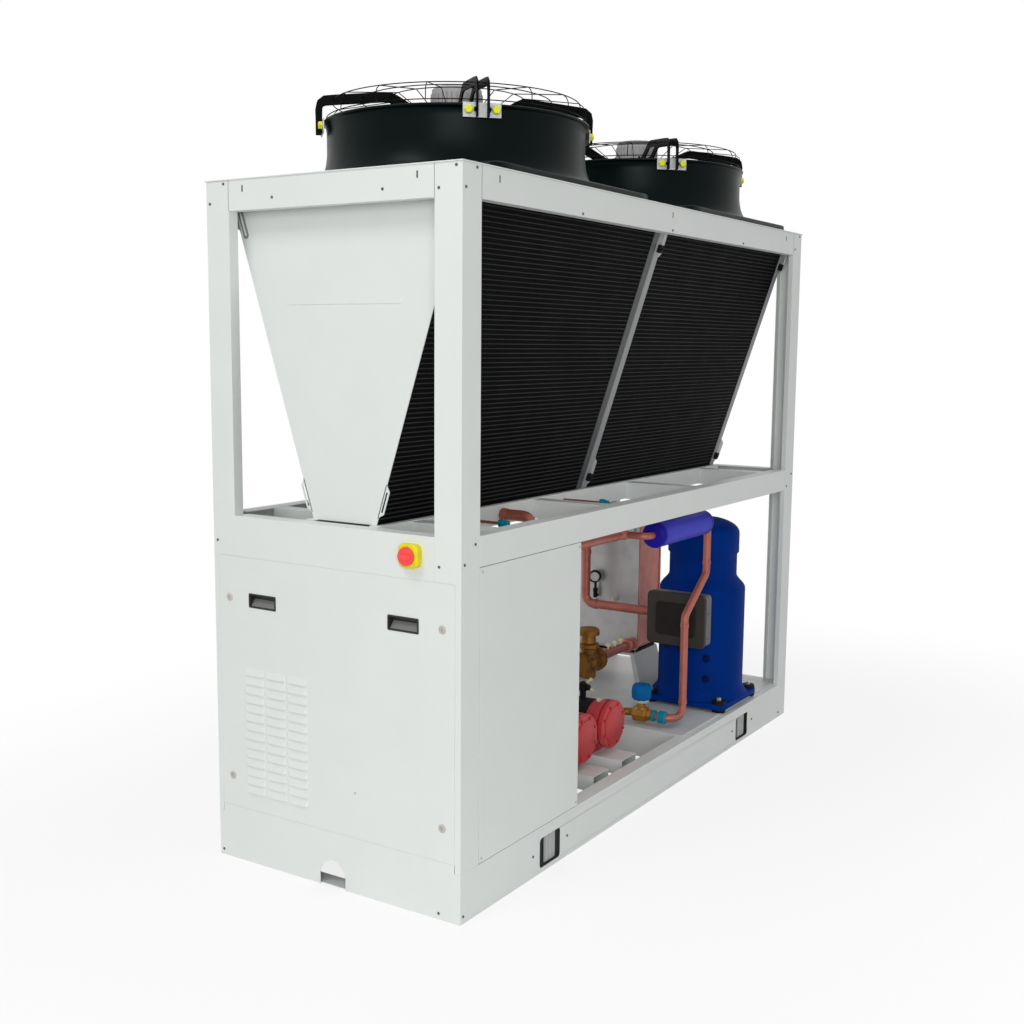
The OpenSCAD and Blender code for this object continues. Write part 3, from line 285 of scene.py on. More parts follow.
WHITE = paint("powder_coat", srgb(226, 230, 227), rough=0.45, uneven=0.01, shine=0.35)
# Grey of the seam lines: painted shade in the gaps of the folded seams.
SEAM_SHADE = paint("seam_shade", srgb(150, 154, 152), rough=0.5, uneven=0.03)
GASKET = paint("gasket_grey", srgb(222, 226, 224), rough=0.5, uneven=0.03)
BRACKET = paint("bracket_grey", srgb(184, 187, 186), rough=0.45, uneven=0.03)
LIFT_GREY = paint("lift_grey", srgb(138, 142, 140), rough=0.45, uneven=0.03)
DECK = paint("deck_grey", srgb(212, 215, 214), rough=0.4, uneven=0.04)
FAN_BLACK = paint("fan_black", srgb(2, 9, 9), rough=0.34, uneven=0.1, shine=0.08, Specular_Tint=TEAL_SHEEN)
ARM_BLACK = paint("arm_black", srgb(7, 8, 8), rough=0.45, uneven=0.1, shine=0.04)
BLADE_BLACK = moulding("blade_black", srgb(17, 19, 20), rough=0.45, shine=0.2)
COIL_BLACK = material("coil_black", fin_coat, shine=0.03)
TUBE_BLACK = paint("tube_black", srgb(52, 53, 54), rough=0.5, uneven=0.15, shine=0.06)
# Coil strips: the darker grey on the front coil's strips is painted shade, and the paler grey on the back
# coil's strips is their lit grey.
STRIP_SHADED_FRONT = paint_shaded_in_front("strip_grey_shaded_front", COIL_JOINT, srgb(74, 76, 76), srgb(156, 158, 160), rough=0.45, shine=0.3)
ZINC = material("zinc", zinc_coat, Metallic=0.35)
MOTOR_GREY = paint("motor_grey", srgb(172, 170, 170), rough=0.5, peel=0.00008, shine=0.3)
HANDLE_DARK = moulding("handle_dark", srgb(50, 50, 50), rough=0.55, shine=0.25)
HANDLE_PALE = moulding("handle_pale", srgb(128, 128, 126), rough=0.5)
LOCK_GREY = moulding("lock_grey", srgb(196, 191, 182), rough=0.5)
YELLOW = moulding("isolator_yellow", srgb(234, 222, 24), rough=0.42, shine=0.3)
BOLT_YELLOW = moulding("bolt_yellow", srgb(232, 232, 20), rough=0.42, shine=0.3)
RED = moulding("knob_red", srgb(255, 84, 82), rough=0.4, shine=0.35)
BLUE = paint("compressor_blue", srgb(0, 48, 132), rough=0.5, uneven=0.06, shine=0.03)
PORT_BLUE = paint("port_blue", srgb(2, 22, 70), rough=0.5, shine=0.05)
VIOLET = paint("muffler_blue", srgb(62, 62, 198), rough=0.45, shine=0.1)
DEEP_BLUE = paint("muffler_end_blue", srgb(36, 26, 156), rough=0.45, shine=0.08)
CAP_BLUE = paint("cap_blue", srgb(0, 104, 172), rough=0.45, shine=0.08)
TEAL = paint("teal", srgb(6, 138, 166), rough=0.45, shine=0.16)
DRIER_RED = paint("drier_red", srgb(196, 60, 64), rough=0.42, uneven=0.1, shine=0.28)
CREAM = moulding("cream", srgb(226, 216, 172), rough=0.5)
DIAL_WHITE = moulding("dial_white", srgb(214, 216, 214), rough=0.5)
LID_DARK = moulding("terminal_lid", srgb(62, 58, 55), rough=0.5, shine=0.15)
PANEL_DARK = moulding("terminal_panel", srgb(40, 36, 35), rough=0.5, shine=0.12)
BASE_GREY = paint("terminal_base", srgb(112, 114, 115), rough=0.5, shine=0.2)
RUBBER = moulding("rubber", srgb(17, 17, 18), rough=0.7, shine=0.15)
COPPER = metal("copper", srgb(172, 98, 84), srgb(132, 72, 62), rough=0.42, Metallic=0.35, marks=0.35)
COPPER_PLATE = metal("copper_plate", srgb(222, 136, 120), srgb(204, 120, 104), rough=0.5, stretch=UPRIGHT,
                     marks=0.35, Metallic=0.15)
BRASS = metal("brass", srgb(168, 116, 34), srgb(108, 70, 12), rough=0.4, Metallic=0.5)
VALVE_BRASS = metal("valve_brass", srgb(124, 80, 10), srgb(78, 48, 4), rough=0.42, Metallic=0.5)
COVER_STEEL = metal("cover_steel", srgb(172, 170, 170), srgb(150, 148, 148), rough=0.4, stretch=SIDEWAYS,
                    marks=0.25, Metallic=0.55)
SCREW = metal("screw_steel", srgb(176, 178, 180), srgb(120, 120, 122), rough=0.4, Metallic=0.6)
DARK_SCREW = moulding("screw_dark", srgb(84, 86, 88), rough=0.5)
# Grey put where slots and channels are hollow: painted shade.
SLOT_SHADE = moulding("slot_shade", srgb(104, 106, 107), rough=0.8, shine=0.1)

# Forms


def around(steps):
    """Angles evenly spaced round a circle."""
    return [2 * pi * k / steps for k in range(steps)]


class Form:
    """A mesh in the making: shapes are added one after another, each at its own place."""

    def __init__(self):
        self.points = []
        self.faces = []

    def add(self, points, faces, place=None, unit=MILLIMETRE):
        """Points, in millimetres unless it says otherwise, and the faces between them."""
        if isinstance(place, Vector):
            place = Matrix.Translation(place)
        start = len(self.points)
        metres = [Vector(p) * unit for p in points]
        self.points += [place @ p for p in metres] if place else metres
        self.faces += [[start + k for k in face] for face in faces]
        return self

    def grid(self, rows, place=None, caps=False, unit=MILLIMETRE):
        """Rows of points joined by quads, each row a closed ring."""
        wide = len(rows[0])
        starts = [wide * r for r in range(len(rows))]
        faces = [[low + k, low + (k + 1) % wide, high + (k + 1) % wide, high + k]
                 for low, high in zip(starts, starts[1:]) for k in range(wide)]
        if caps:
            faces += [list(range(wide))[::-1], [starts[-1] + k for k in range(wide)]]
        return self.add([p for row in rows for p in row], faces, place, unit)

    def stack(self, loops, place):
        """Flat outlines in X and Y, each at its own height, joined one after another."""
        return self.grid([[(x, y, z) for x, y in outline] for outline, z in loops], place)

    def lathe(self, profile, place=None, steps=32, caps=True):
        """A profile of (radius, height) turned round Z."""
        rows = [[(r * cos(a), r * sin(a), z) for a in around(steps)] for r, z in profile]
        return self.grid(rows, place, caps)

    def prism(self, outline, depth, place=None, bevel=0.0):
        """A flat outline in X and Y given a depth along Z, its upper edge cut by a small bevel."""
        centre = [sum(p[k] for p in outline) / len(outline) for k in (0, 1)]
        reach = max(abs(p[k] - centre[k]) for p in outline for k in (0, 1))
        small = [[c + (v - c) * (1 - bevel / reach) for v, c in zip(p, centre)] for p in outline]
        rows = [[(*p, 0) for p in outline], [(*p, depth - bevel) for p in outline]]
        if bevel:
            rows.append([(*p, depth) for p in small])
        return self.grid(rows, place, caps=True)

    def tube(self, line, radius, steps=16, closed=False):
        """A round tube along a line of points, in metres. The radius may be a list, one for each point."""
        line = [Vector(p) for p in line]
        last = len(line) - 1
        radii = radius if isinstance(radius, list) else [radius] * len(line)
        rows, side = [], None
        for k, p in enumerate(line):
            ahead = line[(k + 1) % len(line)] if closed else line[min(k + 1, last)]
            behind = line[k - 1] if closed else line[max(k - 1, 0)]
            way = (ahead - behind).normalized()
            side = way.orthogonal() if side is None else side - way * side.dot(way)
            side.normalize()
            across = way.cross(side)
            rows.append([p + radii[k] * (cos(a) * side + sin(a) * across) for a in around(steps)])
        return self.grid(rows + rows[:1] if closed else rows, caps=not closed, unit=METRE)

    def make(self, name, look, body="chiller", slot=None, sharp=35, bevel=0.0, replaces=()):
        """Turns the form into a piece that rides on a body."""
        mesh = bpy.data.meshes.new(name)
        mesh.from_pydata(self.points, [], self.faces)
        mesh.validate()
        mesh.shade_smooth()
        mesh.set_sharp_from_angle(angle=radians(sharp))
        mesh.materials.append(look)
        made = bpy.data.objects.new(name, mesh)
        scene.collection.objects.link(made)
        if bevel:
            soften(made, bevel)
        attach(made, body)
        if replaces:
            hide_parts(*replaces)
        return made


def soften(piece, width, weld=False):
    """Rounds the sharp edges of a piece so that they catch the light."""
    if weld:
        piece.modifiers.new("join", "WELD").merge_threshold = 0.00005
    bevel = piece.modifiers.new("edges", "BEVEL")
    bevel.width = width
    bevel.segments = 2
    bevel.limit_method = "ANGLE"
    bevel.angle_limit = radians(40)
    bevel.harden_normals = True


def facing(point, way, turn=0.0):
    """A place whose Z points along a way, as for a screw in a wall."""
    aimed = Vector(way).to_track_quat("Z", "Y").to_matrix().to_4x4()
    return Matrix.Translation(point) @ aimed @ Matrix.Rotation(turn, 4, "Z")


def bent(corners, radius, steps=8):
    """The line through some corners with round bends at the inner ones."""
    line = [corners[0]]
    for before, corner, after in zip(corners, corners[1:], corners[2:]):
        way_in = (corner - before).normalized()
        way_out = (after - corner).normalized()
        turn = way_in.angle(way_out)
        inward = (way_out - way_in * way_in.dot(way_out)).normalized()
        centre = corner - way_in * radius * tan(turn / 2) + inward * radius
        line += [centre + radius * (sin(turn * k / steps) * way_in - cos(turn * k / steps) * inward)
                 for k in range(steps + 1)]
    return line + [corners[-1]]


def arc(radius, first, last, steps=10):
    """Points on an arc about the origin."""
    turns = [radians(first + (last - first) * k / steps) for k in range(steps + 1)]
    return [(radius * cos(a), radius * sin(a)) for a in turns]


def rounded(width, height, radius, steps=5):
    """Outline of a rectangle with round corners about the origin."""
    corners = [(1, 1, 0), (-1, 1, 90), (-1, -1, 180), (1, -1, 270)]
    return [(right * (width / 2 - radius) + x, high * (height / 2 - radius) + y)
            for right, high, first in corners for x, y in arc(radius, first, first + 90, steps)]


def ring_of(radius, count, first=0.0):
    """Points evenly spaced round a circle."""
    return arc(radius, first, first + 360 * (count - 1) / count, count - 1)


def hexagon(across):
    """Outline of a nut or bolt head, by its width across the flats."""
    return ring_of(across / sqrt(3), 6)


def pan_head(size):
    """Profile of a pan head screw."""
    profile = [(4.6, 0), (4.6, 1.2), (3.6, 2.6), (1.8, 3.1), (1.2, 2.2), (0.2, 2.2)]
    return [(r * size, z * size) for r, z in profile]


def screws(name, places, look=DARK_SCREW, size=1.0):
    """Pan head screws, each a (point, way) pair, as one piece."""
    form = Form()
    for point, way in places:
        form.lathe(pan_head(size), facing(point, way), 12)
    return form.make(name, look)


# Looks of the CAD pieces

SLOT_LOOKS = {"frame_paint": WHITE, "galvanised_steel": ZINC, "coil_fins": COIL_BLACK,
              "fan_black": FAN_BLACK, "blade_black": BLADE_BLACK, "motor_grey": MOTOR_GREY,
              "handle_grey": HANDLE_DARK, "isolator_yellow": YELLOW, "knob_red": RED,
              "compressor_blue": BLUE, "terminal_black": LID_DARK, "exchanger_copper": COPPER_PLATE,
              "muffler_blue": VIOLET, "copper": COPPER, "brass": BRASS, "drier_red": DRIER_RED}
NODE_LOOKS = {"lift_brackets": LIFT_GREY, "coil_strips": STRIP_SHADED_FRONT, "exchanger_stand": BRACKET,
              "compressor_deck": DECK}
SHEET_SLOTS, SHEET_EDGE = ("frame_paint", "galvanised_steel"), 0.001
EDGES = {"front_panel": 0, "plate_exchanger": 0.002, "control_cabinet": 0.003}


def dress_cad_pieces():
    """Gives each CAD piece its finish, and the sheet metal its rounded edges."""
    for part in frame["record"]["subparts"]:
        name, slot = part["node"], part["material_slot"]
        piece = nodes[name]
        piece.data.materials.clear()
        piece.data.materials.append(NODE_LOOKS.get(name, SLOT_LOOKS[slot]))
        width = EDGES.get(name, SHEET_EDGE if slot in SHEET_SLOTS else 0)
        if width:
            soften(piece, width, weld=True)


dress_cad_pieces()

# Fans

FANS = {name: under(f"{name}_cowl") for name in ("fan_1", "fan_2")}
NECK, FLARE, FLARE_RISE, WALL, RIM, ROLL = 444, 44, 110, 6, 457, 5
DECK_TOP, COWL_FOOT, RIM_TOP, FLANGE_TOP = 2270, 2290, 2497, 2518
HALF_PLATE, PLATE_CORNER, PLATE_EDGE = 503, 697, 4
COWL_STEPS = 144
CLAMP_FACE, CLAMP_Z, CLAMP_BOLTS = 461.3, 2475, (-44, 44)
BLADES, BLADE_TIP, BLADE_Z, HUB = 5, 428, 2454, 112
BLADE_CAMBER, BLADE_HALF = 13, 4.2
MOTOR_RIBS, RIB_SIDES = 32, (-1.6, 1.6)

# Middle line of a guard arm from the cowl rim over its crown to the motor, as (radius, height, half depth)
ARM_LINE = [(471, 2452, 10), (471, 2500, 10), (471, 2535, 11), (466, 2553, 13), (452, 2563, 14),
            (420, 2567, 14), (330, 2576, 14), (250, 2584, 14), (228, 2583, 14), (212, 2576, 14),
            (160, 2546, 14), (146, 2539, 14), (128, 2534, 14), (90, 2532, 14)]
ARM_TURNS = (45, 135, 225, 315)
ARM_BARS, BAR_HALF = (-18, 18), 3
ARM_BOLTS = [(108, 2546), (471, 2475)]

# Wires of the guard, as (radius, height)
WIRE_STOPS = [(122, 2532), (158, 2544), (231, 2585), (444, 2562)]
WIRE_RINGS, LOW_RING = (134, 231, 327, 424), (445, 2509)
SPOKE_STOPS = (134, 158, 180, 205, 231, 260, 330, 400, 424)
SPOKE_END = [(437, 2554), (444, 2538), LOW_RING]
SPOKE_TURNS = (22.5, 45, 67.5)
SPOKE_WIRE, RING_WIRE = 0.0016, 0.0018


def fan_place(fan, turn):
    """A place on the floor under a fan, turned about its axis by some degrees."""
    return Matrix.Translation(FANS[fan]) @ Matrix.Rotation(radians(turn), 4, "Z")


def cowl_flare(reach, curve):
    """The flared foot of a cowl, along a curve of unit size."""
    return [(NECK + FLARE + reach * x, COWL_FOOT + FLARE_RISE * (1 + z)) for x, z in curve]


def cowl_plate():
    """The square foot plate of a cowl, as rows round its edge and its hole."""
    angles = around(COWL_STEPS)
    hole = NECK + FLARE - WALL

    def edge(inset, height):
        """The plate's edge, drawn in a little, at a height."""
        reach = [min(HALF_PLATE / max(abs(cos(a)), abs(sin(a))), PLATE_CORNER) - inset for a in angles]
        return [(r * cos(a), r * sin(a), height) for r, a in zip(reach, angles)]

    def bore(height):
        """The plate's hole at a height."""
        return [(hole * cos(a), hole * sin(a), height) for a in angles]

    rows = [edge(0, DECK_TOP), edge(0, COWL_FOOT - PLATE_EDGE), edge(PLATE_EDGE, COWL_FOOT)]
    rows += [bore(COWL_FOOT), bore(DECK_TOP)]
    return rows + rows[:1]


def cowl(fan):
    """Flared foot, neck and rolled rim as one smooth shell on its square plate."""
    outer = cowl_flare(FLARE, arc(1, 270, 180, 16))
    neck = [(NECK, RIM_TOP - 40), (NECK + 3, RIM_TOP - 16)]
    lip = [(RIM - ROLL + x, RIM_TOP - ROLL + z) for x, z in arc(ROLL, -90, 180)]
    mouth = [(NECK - WALL, RIM_TOP - 34)]
    inner = cowl_flare(FLARE + WALL, arc(1, 180, 262))
    form = Form().lathe(outer + neck + lip + mouth + inner + outer[:1], FANS[fan], COWL_STEPS, caps=False)
    form.grid(cowl_plate(), FANS[fan])
    form.make(f"{fan}_cowl_shell", FAN_BLACK, slot="fan_black", sharp=50, replaces=[f"{fan}_cowl"])


def arm_bar(form, place, bar):
    """One upright flat bar of a guard arm."""
    corners = [(1, -BAR_HALF), (1, BAR_HALF), (-1, BAR_HALF), (-1, -BAR_HALF)]
    rows = []
    for k, (r, z, half) in enumerate(ARM_LINE):
        ahead = ARM_LINE[min(k + 1, len(ARM_LINE) - 1)]
        behind = ARM_LINE[max(k - 1, 0)]
        way = Vector((ahead[0] - behind[0], ahead[1] - behind[1])).normalized()
        rows.append([(r + edge * way.y * half, bar + side, z - edge * way.x * half)
                     for edge, side in corners])
    form.grid(rows, place, caps=True)


def wire_height(r):
    """Height of the guard's wires over their radius."""
    for (r0, z0), (r1, z1) in zip(WIRE_STOPS, WIRE_STOPS[1:]):
        if r <= r1:
            return z0 + (z1 - z0) * (r - r0) / (r1 - r0)


def guard(fan):
    """Arms of paired flat bars, wire rings, and radial wires that bend down to the lowest ring."""
    arms, wires = Form(), Form()
    spoke = [(r, wire_height(r)) for r in SPOKE_STOPS] + SPOKE_END
    rings = [(r, wire_height(r)) for r in WIRE_RINGS] + [LOW_RING]
    for turn in ARM_TURNS:
        place = fan_place(fan, turn)
        for bar in ARM_BARS:
            arm_bar(arms, place, bar)
            for r, z in ARM_BOLTS:
                bolt = facing(offset(r, 1.16 * bar, z), (0, copysign(1, bar), 0))
                arms.prism(hexagon(13), 6, place @ bolt)
        for beside in SPOKE_TURNS:
            at = fan_place(fan, turn + beside)
            wires.tube([at @ offset(r, 0, z) for r, z in spoke], SPOKE_WIRE, 8)
    for r, z in rings:
        wires.tube([FANS[fan] + offset(x, y, z) for x, y in ring_of(r, 96)], RING_WIRE, 8, closed=True)
    arms.make(f"{fan}_guard_arms", ARM_BLACK, slot="fan_black", bevel=0.001, replaces=[f"{fan}_guard"])
    wires.make(f"{fan}_guard_wires", ARM_BLACK, slot="fan_black", sharp=60)


def blade(turn):
    """A twisted, cambered blade as closed sections from the hub out to the tip."""
    sections, steps = 10, 8
    rows = []
    for k in range(sections + 1):
        share = k / sections
        r = HUB + (BLADE_TIP - HUB) * share
        pitch = radians(33 - 15 * share)
        chord = 172 + 34 * share - 30 * share ** 4
        sweep = radians(4 - 15 * share ** 1.4)
        section = []
        for side, order in ((1, range(steps + 1)), (-1, range(steps, -1, -1))):
            for t in (n / steps for n in order):
                bulge = 4 * t * (1 - t)
                thick = BLADE_HALF * sqrt(max(bulge, 0.02)) * (1 - 0.35 * share)
                flat = (t - 0.5) * chord
                rise = BLADE_CAMBER * (bulge - 1) + side * thick
                angle = turn + sweep + (flat * cos(pitch) - rise * sin(pitch)) / r
                height = BLADE_Z + flat * sin(pitch) + rise * cos(pitch)
                section.append((r * cos(angle), r * sin(angle), height))
        rows.append(section)
    return rows


def impeller(fan):
    """Twisted blades on a stepped hub."""
    hub = [(20, 2500), (20, 2408), (108, 2408), (118, 2418), (118, 2492), (112, 2499), (96, 2500),
           (92, 2496), (44, 2496), (40, 2500), (20, 2500)]
    form = Form()
    for turn in around(BLADES):
        form.grid(blade(turn), FANS[fan], caps=True)
    form.lathe(hub, FANS[fan], 64, caps=False)
    form.make(f"{fan}_blades", BLADE_BLACK, f"{fan}_rotor", "blade_black", 40, replaces=[f"{fan}_impeller"])


def motor(fan):
    """Ribs round the motor, its cap with screws, and the bolts of its flange."""
    rib = [(85, 2526), (90, 2528), (90, 2600), (85, 2606)]
    ribs, bolts = Form(), Form()
    for k in range(MOTOR_RIBS):
        place = fan_place(fan, 360 * k / MOTOR_RIBS)
        ribs.grid([[(r, y, z) for r, z in rib] for y in RIB_SIDES], place, caps=True)
    ribs.make(f"{fan}_motor_ribs", MOTOR_GREY, slot="motor_grey", sharp=30)
    cap = Form().lathe([(78, 2612), (78, 2621.5), (74.5, 2625), (0.2, 2625)], FANS[fan], 48)
    for x, y in ring_of(62, 4, 20):
        cap.lathe(pan_head(1.3), FANS[fan] + offset(x, y, 2623), 12)
    cap.make(f"{fan}_motor_cap", MOTOR_GREY, slot="motor_grey")
    for x, y in ring_of(106, 8, 22.5):
        bolts.prism(hexagon(13), 8, FANS[fan] + offset(x, y, FLANGE_TOP), 1)
    bolts.make(f"{fan}_motor_bolts", SCREW)


def clamp_bolts(fan):
    """Two yellow bolts with washers on each clamp plate."""
    bolts, washers = Form(), Form()
    for turn in ARM_TURNS:
        for side in CLAMP_BOLTS:
            spot = fan_place(fan, turn) @ facing(offset(CLAMP_FACE, side, CLAMP_Z), ACROSS)
            washers.lathe([(14, 0), (14, 2.5), (2, 2.5)], spot, 24)
            bolts.prism(hexagon(23), 13, spot @ shift(z=2), 2)
    bolts.make(f"{fan}_clamp_bolts", BOLT_YELLOW, sharp=25)
    washers.make(f"{fan}_clamp_washers", SCREW)


for fan in FANS:
    cowl(fan)
    guard(fan)
    impeller(fan)
    motor(fan)
    clamp_bolts(fan)

# Coils

COIL_FOOT, TRAY_TOP = 129, 1190
LEAN = atan2(346, 1054)
COIL_RUNS = {"front": (78.3, 1324), "back": (1406, 2613.7)}
TUBE_START, TUBE_PITCH, TUBE_COUNT = 18, 16, 67
CLAMP_BACKS, CLAMP_HEIGHTS = (1417, 2662), (72, 1000)


def coil_wall(side):
    """A place with X out of a coil wall, Y along it and Z up its lean. On the left wall Y runs forward."""
    out = Vector((side * cos(LEAN), 0, -sin(LEAN)))
    up = Vector((side * sin(LEAN), 0, cos(LEAN)))
    axes = Matrix((out, up.cross(out), up)).transposed()
    return Matrix.Translation(mm(side * COIL_FOOT, 0, TRAY_TOP)) @ axes.to_4x4()


def coil_tubes(side, name, start, end):
    """Flat tubes across the outer face of a coil, with the fin edges between them."""
    section = [(-1, 0), (2.2, 0.6), (2.8, 2), (2.2, 3.4), (-1, 4)]
    ends = sorted((side * (start + 1), side * (end - 1)))
    tubes = Form()
    for k in range(TUBE_COUNT):
        low = TUBE_START + TUBE_PITCH * k
        tubes.grid([[(x, y, low + z) for x, z in section] for y in ends], coil_wall(side), caps=True)
    tubes.make(f"coil_tubes_{name}", TUBE_BLACK, slot="coil_fins", sharp=60)


def coil_clamps(side, name):
    """Black clamp blocks with a bolt where the coil strips meet the frame, beside small folded ears."""
    outline = rounded(24, 30, 3)
    ear = [(-13, -58), (5, -44), (11, -40), (11, 40), (5, 44), (-13, 58)]
    blocks, ears = Form(), Form()
    for along in CLAMP_BACKS:
        for up in CLAMP_HEIGHTS:
            spot = coil_wall(side) @ shift(0, side * along, up)
            block = spot @ shift(0, -side * 26, -22)
            blocks.grid([[(x, y, z) for y, z in outline] for x in (1, 17)], block, caps=True)
            blocks.lathe([(6, 0), (6, 4), (1, 5)], block @ facing(offset(16.5, 0, 0), ACROSS), 12)
            ears.grid([[(x, side * y, z) for y, z in ear] for x in (0.4, 3)], spot, caps=True)
    blocks.make(f"coil_clamps_{name}", RUBBER)
    ears.make(f"coil_ears_{name}", BRACKET, slot="galvanised_steel")


for side, name in ((-1, "left"), (1, "right")):
    for run, (start, end) in COIL_RUNS.items():
        coil_tubes(side, f"{name}_{run}", start, end)
    coil_clamps(side, name)

# Frame and door

HALF_W, LENGTH, POST = 505, 2730, 98
ENDS = {"front": (0, -1), "back": (LENGTH, 1)}
SIDES = {"left": -1, "right": 1}
FAN_BACKS = [round((at.y - FRONT) * 1000) for at in FANS.values()]
LIFT_SLOTS = (LENGTH / 2 - 834, LENGTH / 2 + 834)
END_PLATE_BACK = 78
LOUVRE_XS = [-333 + 94 * column for column in range(3)]
LOUVRE_ZS = [260 + 31.3 * row for row in range(14)]


def on_end(end, x, z):
    """A spot on the front or back face of the frame, and the way that it faces."""
    back, way = ENDS[end]
    return mm(x, back, z), (0, way, 0)


def on_side(side, back, z):
    """A spot on a side face of the frame, and the way that it faces."""
    return mm(SIDES[side] * HALF_W, back, z), (SIDES[side], 0, 0)


def on_rails(xs, end_z, backs, side_z):
    """Spots across both ends and along both sides of the frame, each with the way that it faces."""
    spots = [on_end(end, x, end_z) for end in ENDS for x in xs]
    return spots + [on_side(side, back, side_z) for side in SIDES for back in backs]


def frame_screws():
    """Screws at the corners of the frame and beside the lifting slots."""
    end_spots = [(28, 2256), (-33, 2196), (-32, 20), (-31, 1099)]
    side_spots = [(24, 2256), (-32, 2196), (-34, 24), (24, 1165), (-32, 1110)]
    spots = []
    for end in ENDS:
        for post in (-456, 456):
            spots += [on_end(end, post + x, z) for x, z in end_spots]
        spots += [on_end(end, x, 2204) for x in (-219, 219)]
    for side in SIDES:
        for post in (POST / 2, LENGTH - POST / 2):
            spots += [on_side(side, post + back, z) for back, z in side_spots]
        spots += [on_side(side, slot + beside, 74) for slot in LIFT_SLOTS for beside in (-112, 112)]
        spots += [on_side(side, back, 2180) for back in FAN_BACKS + [LENGTH / 2]]
    screws("frame_screws", spots)


def frame_slots():
    """Upright slots punched in the top rails, drawn as thin grey plates on the rails whose grey is painted
    shade for the hollow inside.
    """
    slots = Form()
    for point, way in on_rails((-346, 346), 2238, (192, LENGTH / 2, LENGTH - 192), 2236):
        slots.prism(rounded(6, 22, 2.9), 0.4, facing(point, way))
    slots.make("frame_slots", SLOT_SHADE)


def post_seams():
    """Folded seams beside the corner posts, down the ends of the top rails, drawn as thin grey strips whose
    grey is painted shade in the seam gaps.
    """
    seams = Form()
    for point, way in on_rails((POST - HALF_W, HALF_W - POST), 2218, (POST, LENGTH - POST), 2218):
        seams.prism(rounded(2.4, 96, 0.6, 1), 0.3, facing(point, way))
    seams.make("post_seams", SEAM_SHADE, slot="frame_paint")


def lift_openings():
    """Channels with a ribbed tongue behind the lifting slots: the channels are grey plates whose grey is
    painted shade inside the rails.
    """
    channel_x, tongue_x, z = 470, 486, 66
    channels, tongues = Form(), Form()
    for side in SIDES.values():
        out = (side, 0, 0)
        for back in LIFT_SLOTS:
            # Grey plate and floor strip inside the rail: painted shade.
            channels.prism(rounded(280, 124, 4), 3, facing(mm(side * channel_x, back, z), out))
            channels.prism(rounded(32, 280, 2), 2, mm(side * tongue_x, back, 2))
            tongues.prism(rounded(66, 100, 3), 3, facing(mm(side * tongue_x, back + 20, z), out))
            for rib in (-6, 20, 46):
                tongues.prism(rounded(9, 98, 3), 7, facing(mm(side * tongue_x, back + rib, z), out), 3)
    channels.make("lift_channel_shade", SLOT_SHADE)
    tongues.make("lift_tongues", BRACKET, slot="galvanised_steel")


def arch_flanges():
    """Bottom flanges behind the arches of the base rails."""
    flange = Form()
    for back in (36, LENGTH - 36):
        flange.prism(rounded(300, 60, 2), 3, mm(0, back, 1))
    flange.make("arch_flanges", WHITE, slot="frame_paint")


def beside_plate(side, out, up, depth):
    """A point beside an end plate's leaning edge: so far out of it, up along it and proud of the plate."""
    across = COIL_FOOT + out * cos(LEAN) + up * sin(LEAN)
    return side * across, up * cos(LEAN) - out * sin(LEAN), depth


def end_plates():
    """The V-shaped end plates with a crease across them and slotted ears at their feet and heads."""
    top, crease_z, crease_half = 1072, 685, 231
    head = COIL_FOOT + tan(LEAN) * top
    sheet = [(-COIL_FOOT, 0), (COIL_FOOT, 0), (head, top), (-head, top)]
    crease = [(-crease_half, 0), (crease_half, 0), (crease_half, 9), (-crease_half, 9)]
    ear = [(-3, -3), (16, 16), (16, 92), (-3, 111)]
    slot = [(3.5, 19), (10.5, 19), (10.5, 89), (3.5, 89)]
    loops = [(ear, 0), (ear, 3), (slot, 3), (slot, 0), (ear, 0)]
    hooks, eyes = Form(), Form()
    for end, back in (("front", END_PLATE_BACK), ("back", LENGTH - END_PLATE_BACK)):
        place = facing(mm(0, back, TRAY_TOP), (0, ENDS[end][1], 0))
        plate = Form().prism(sheet, 3, place)
        plate.prism(crease, 3, place @ shift(y=crease_z, z=2), 2.5)
        for side in (-1, 1):
            for rise in (26, 975):
                plate.grid([[beside_plate(side, x, rise + y, depth) for x, y in loop]
                            for loop, depth in loops], place)
            hook = place @ shift(side * 416, 945, 3) @ Matrix.Rotation(-side * LEAN, 4, "Z")
            hooks.prism(rounded(22, 96, 10), 1.5, hook, 0.5)
            eyes.prism(rounded(7, 78, 3.4), 0.8, hook @ shift(z=1.4))
        plate.make(f"end_plate_{end}_sheet", WHITE, slot="frame_paint", replaces=[f"end_plate_{end}"])
    hooks.make("end_plate_hooks", LIFT_GREY, slot="frame_paint")
    eyes.make("end_plate_eyes", WHITE, slot="frame_paint")


def louvres():
    """Pressed hoods of the door's louvres."""
    long, short, high, out = 43.5, 32.5, 11.5, 8
    wedge = [(-long, 0, high), (long, 0, high), (short, -out, -high), (-short, -out, -high),
             (long, 0, -high), (-long, 0, -high)]
    faces = [(0, 3, 2, 1), (0, 5, 3), (1, 2, 4), (5, 4, 2, 3)]
    hoods = Form()
    for x in LOUVRE_XS:
        for z in LOUVRE_ZS:
            hoods.add(wedge, faces, mm(x, 0, z))
    hoods.make("louvre_hoods", WHITE, slot="frame_paint", bevel=0.0015)


def door_gasket():
    """Pale gasket in the seam round the door, just below its face."""
    wide, tall = face_size("front_panel")
    top, bottom = -1.2, -8
    inner, outer = rounded(wide - 4, tall - 4, 2, 1), rounded(wide + 5, tall + 5, 2, 1)
    loops = [(inner, top), (outer, top), (outer, bottom), (inner, bottom), (inner, top)]
    point = Vector((0, FRONT, middle("front_panel").z))
    Form().stack(loops, facing(point, FORWARD)).make("door_gasket", GASKET)


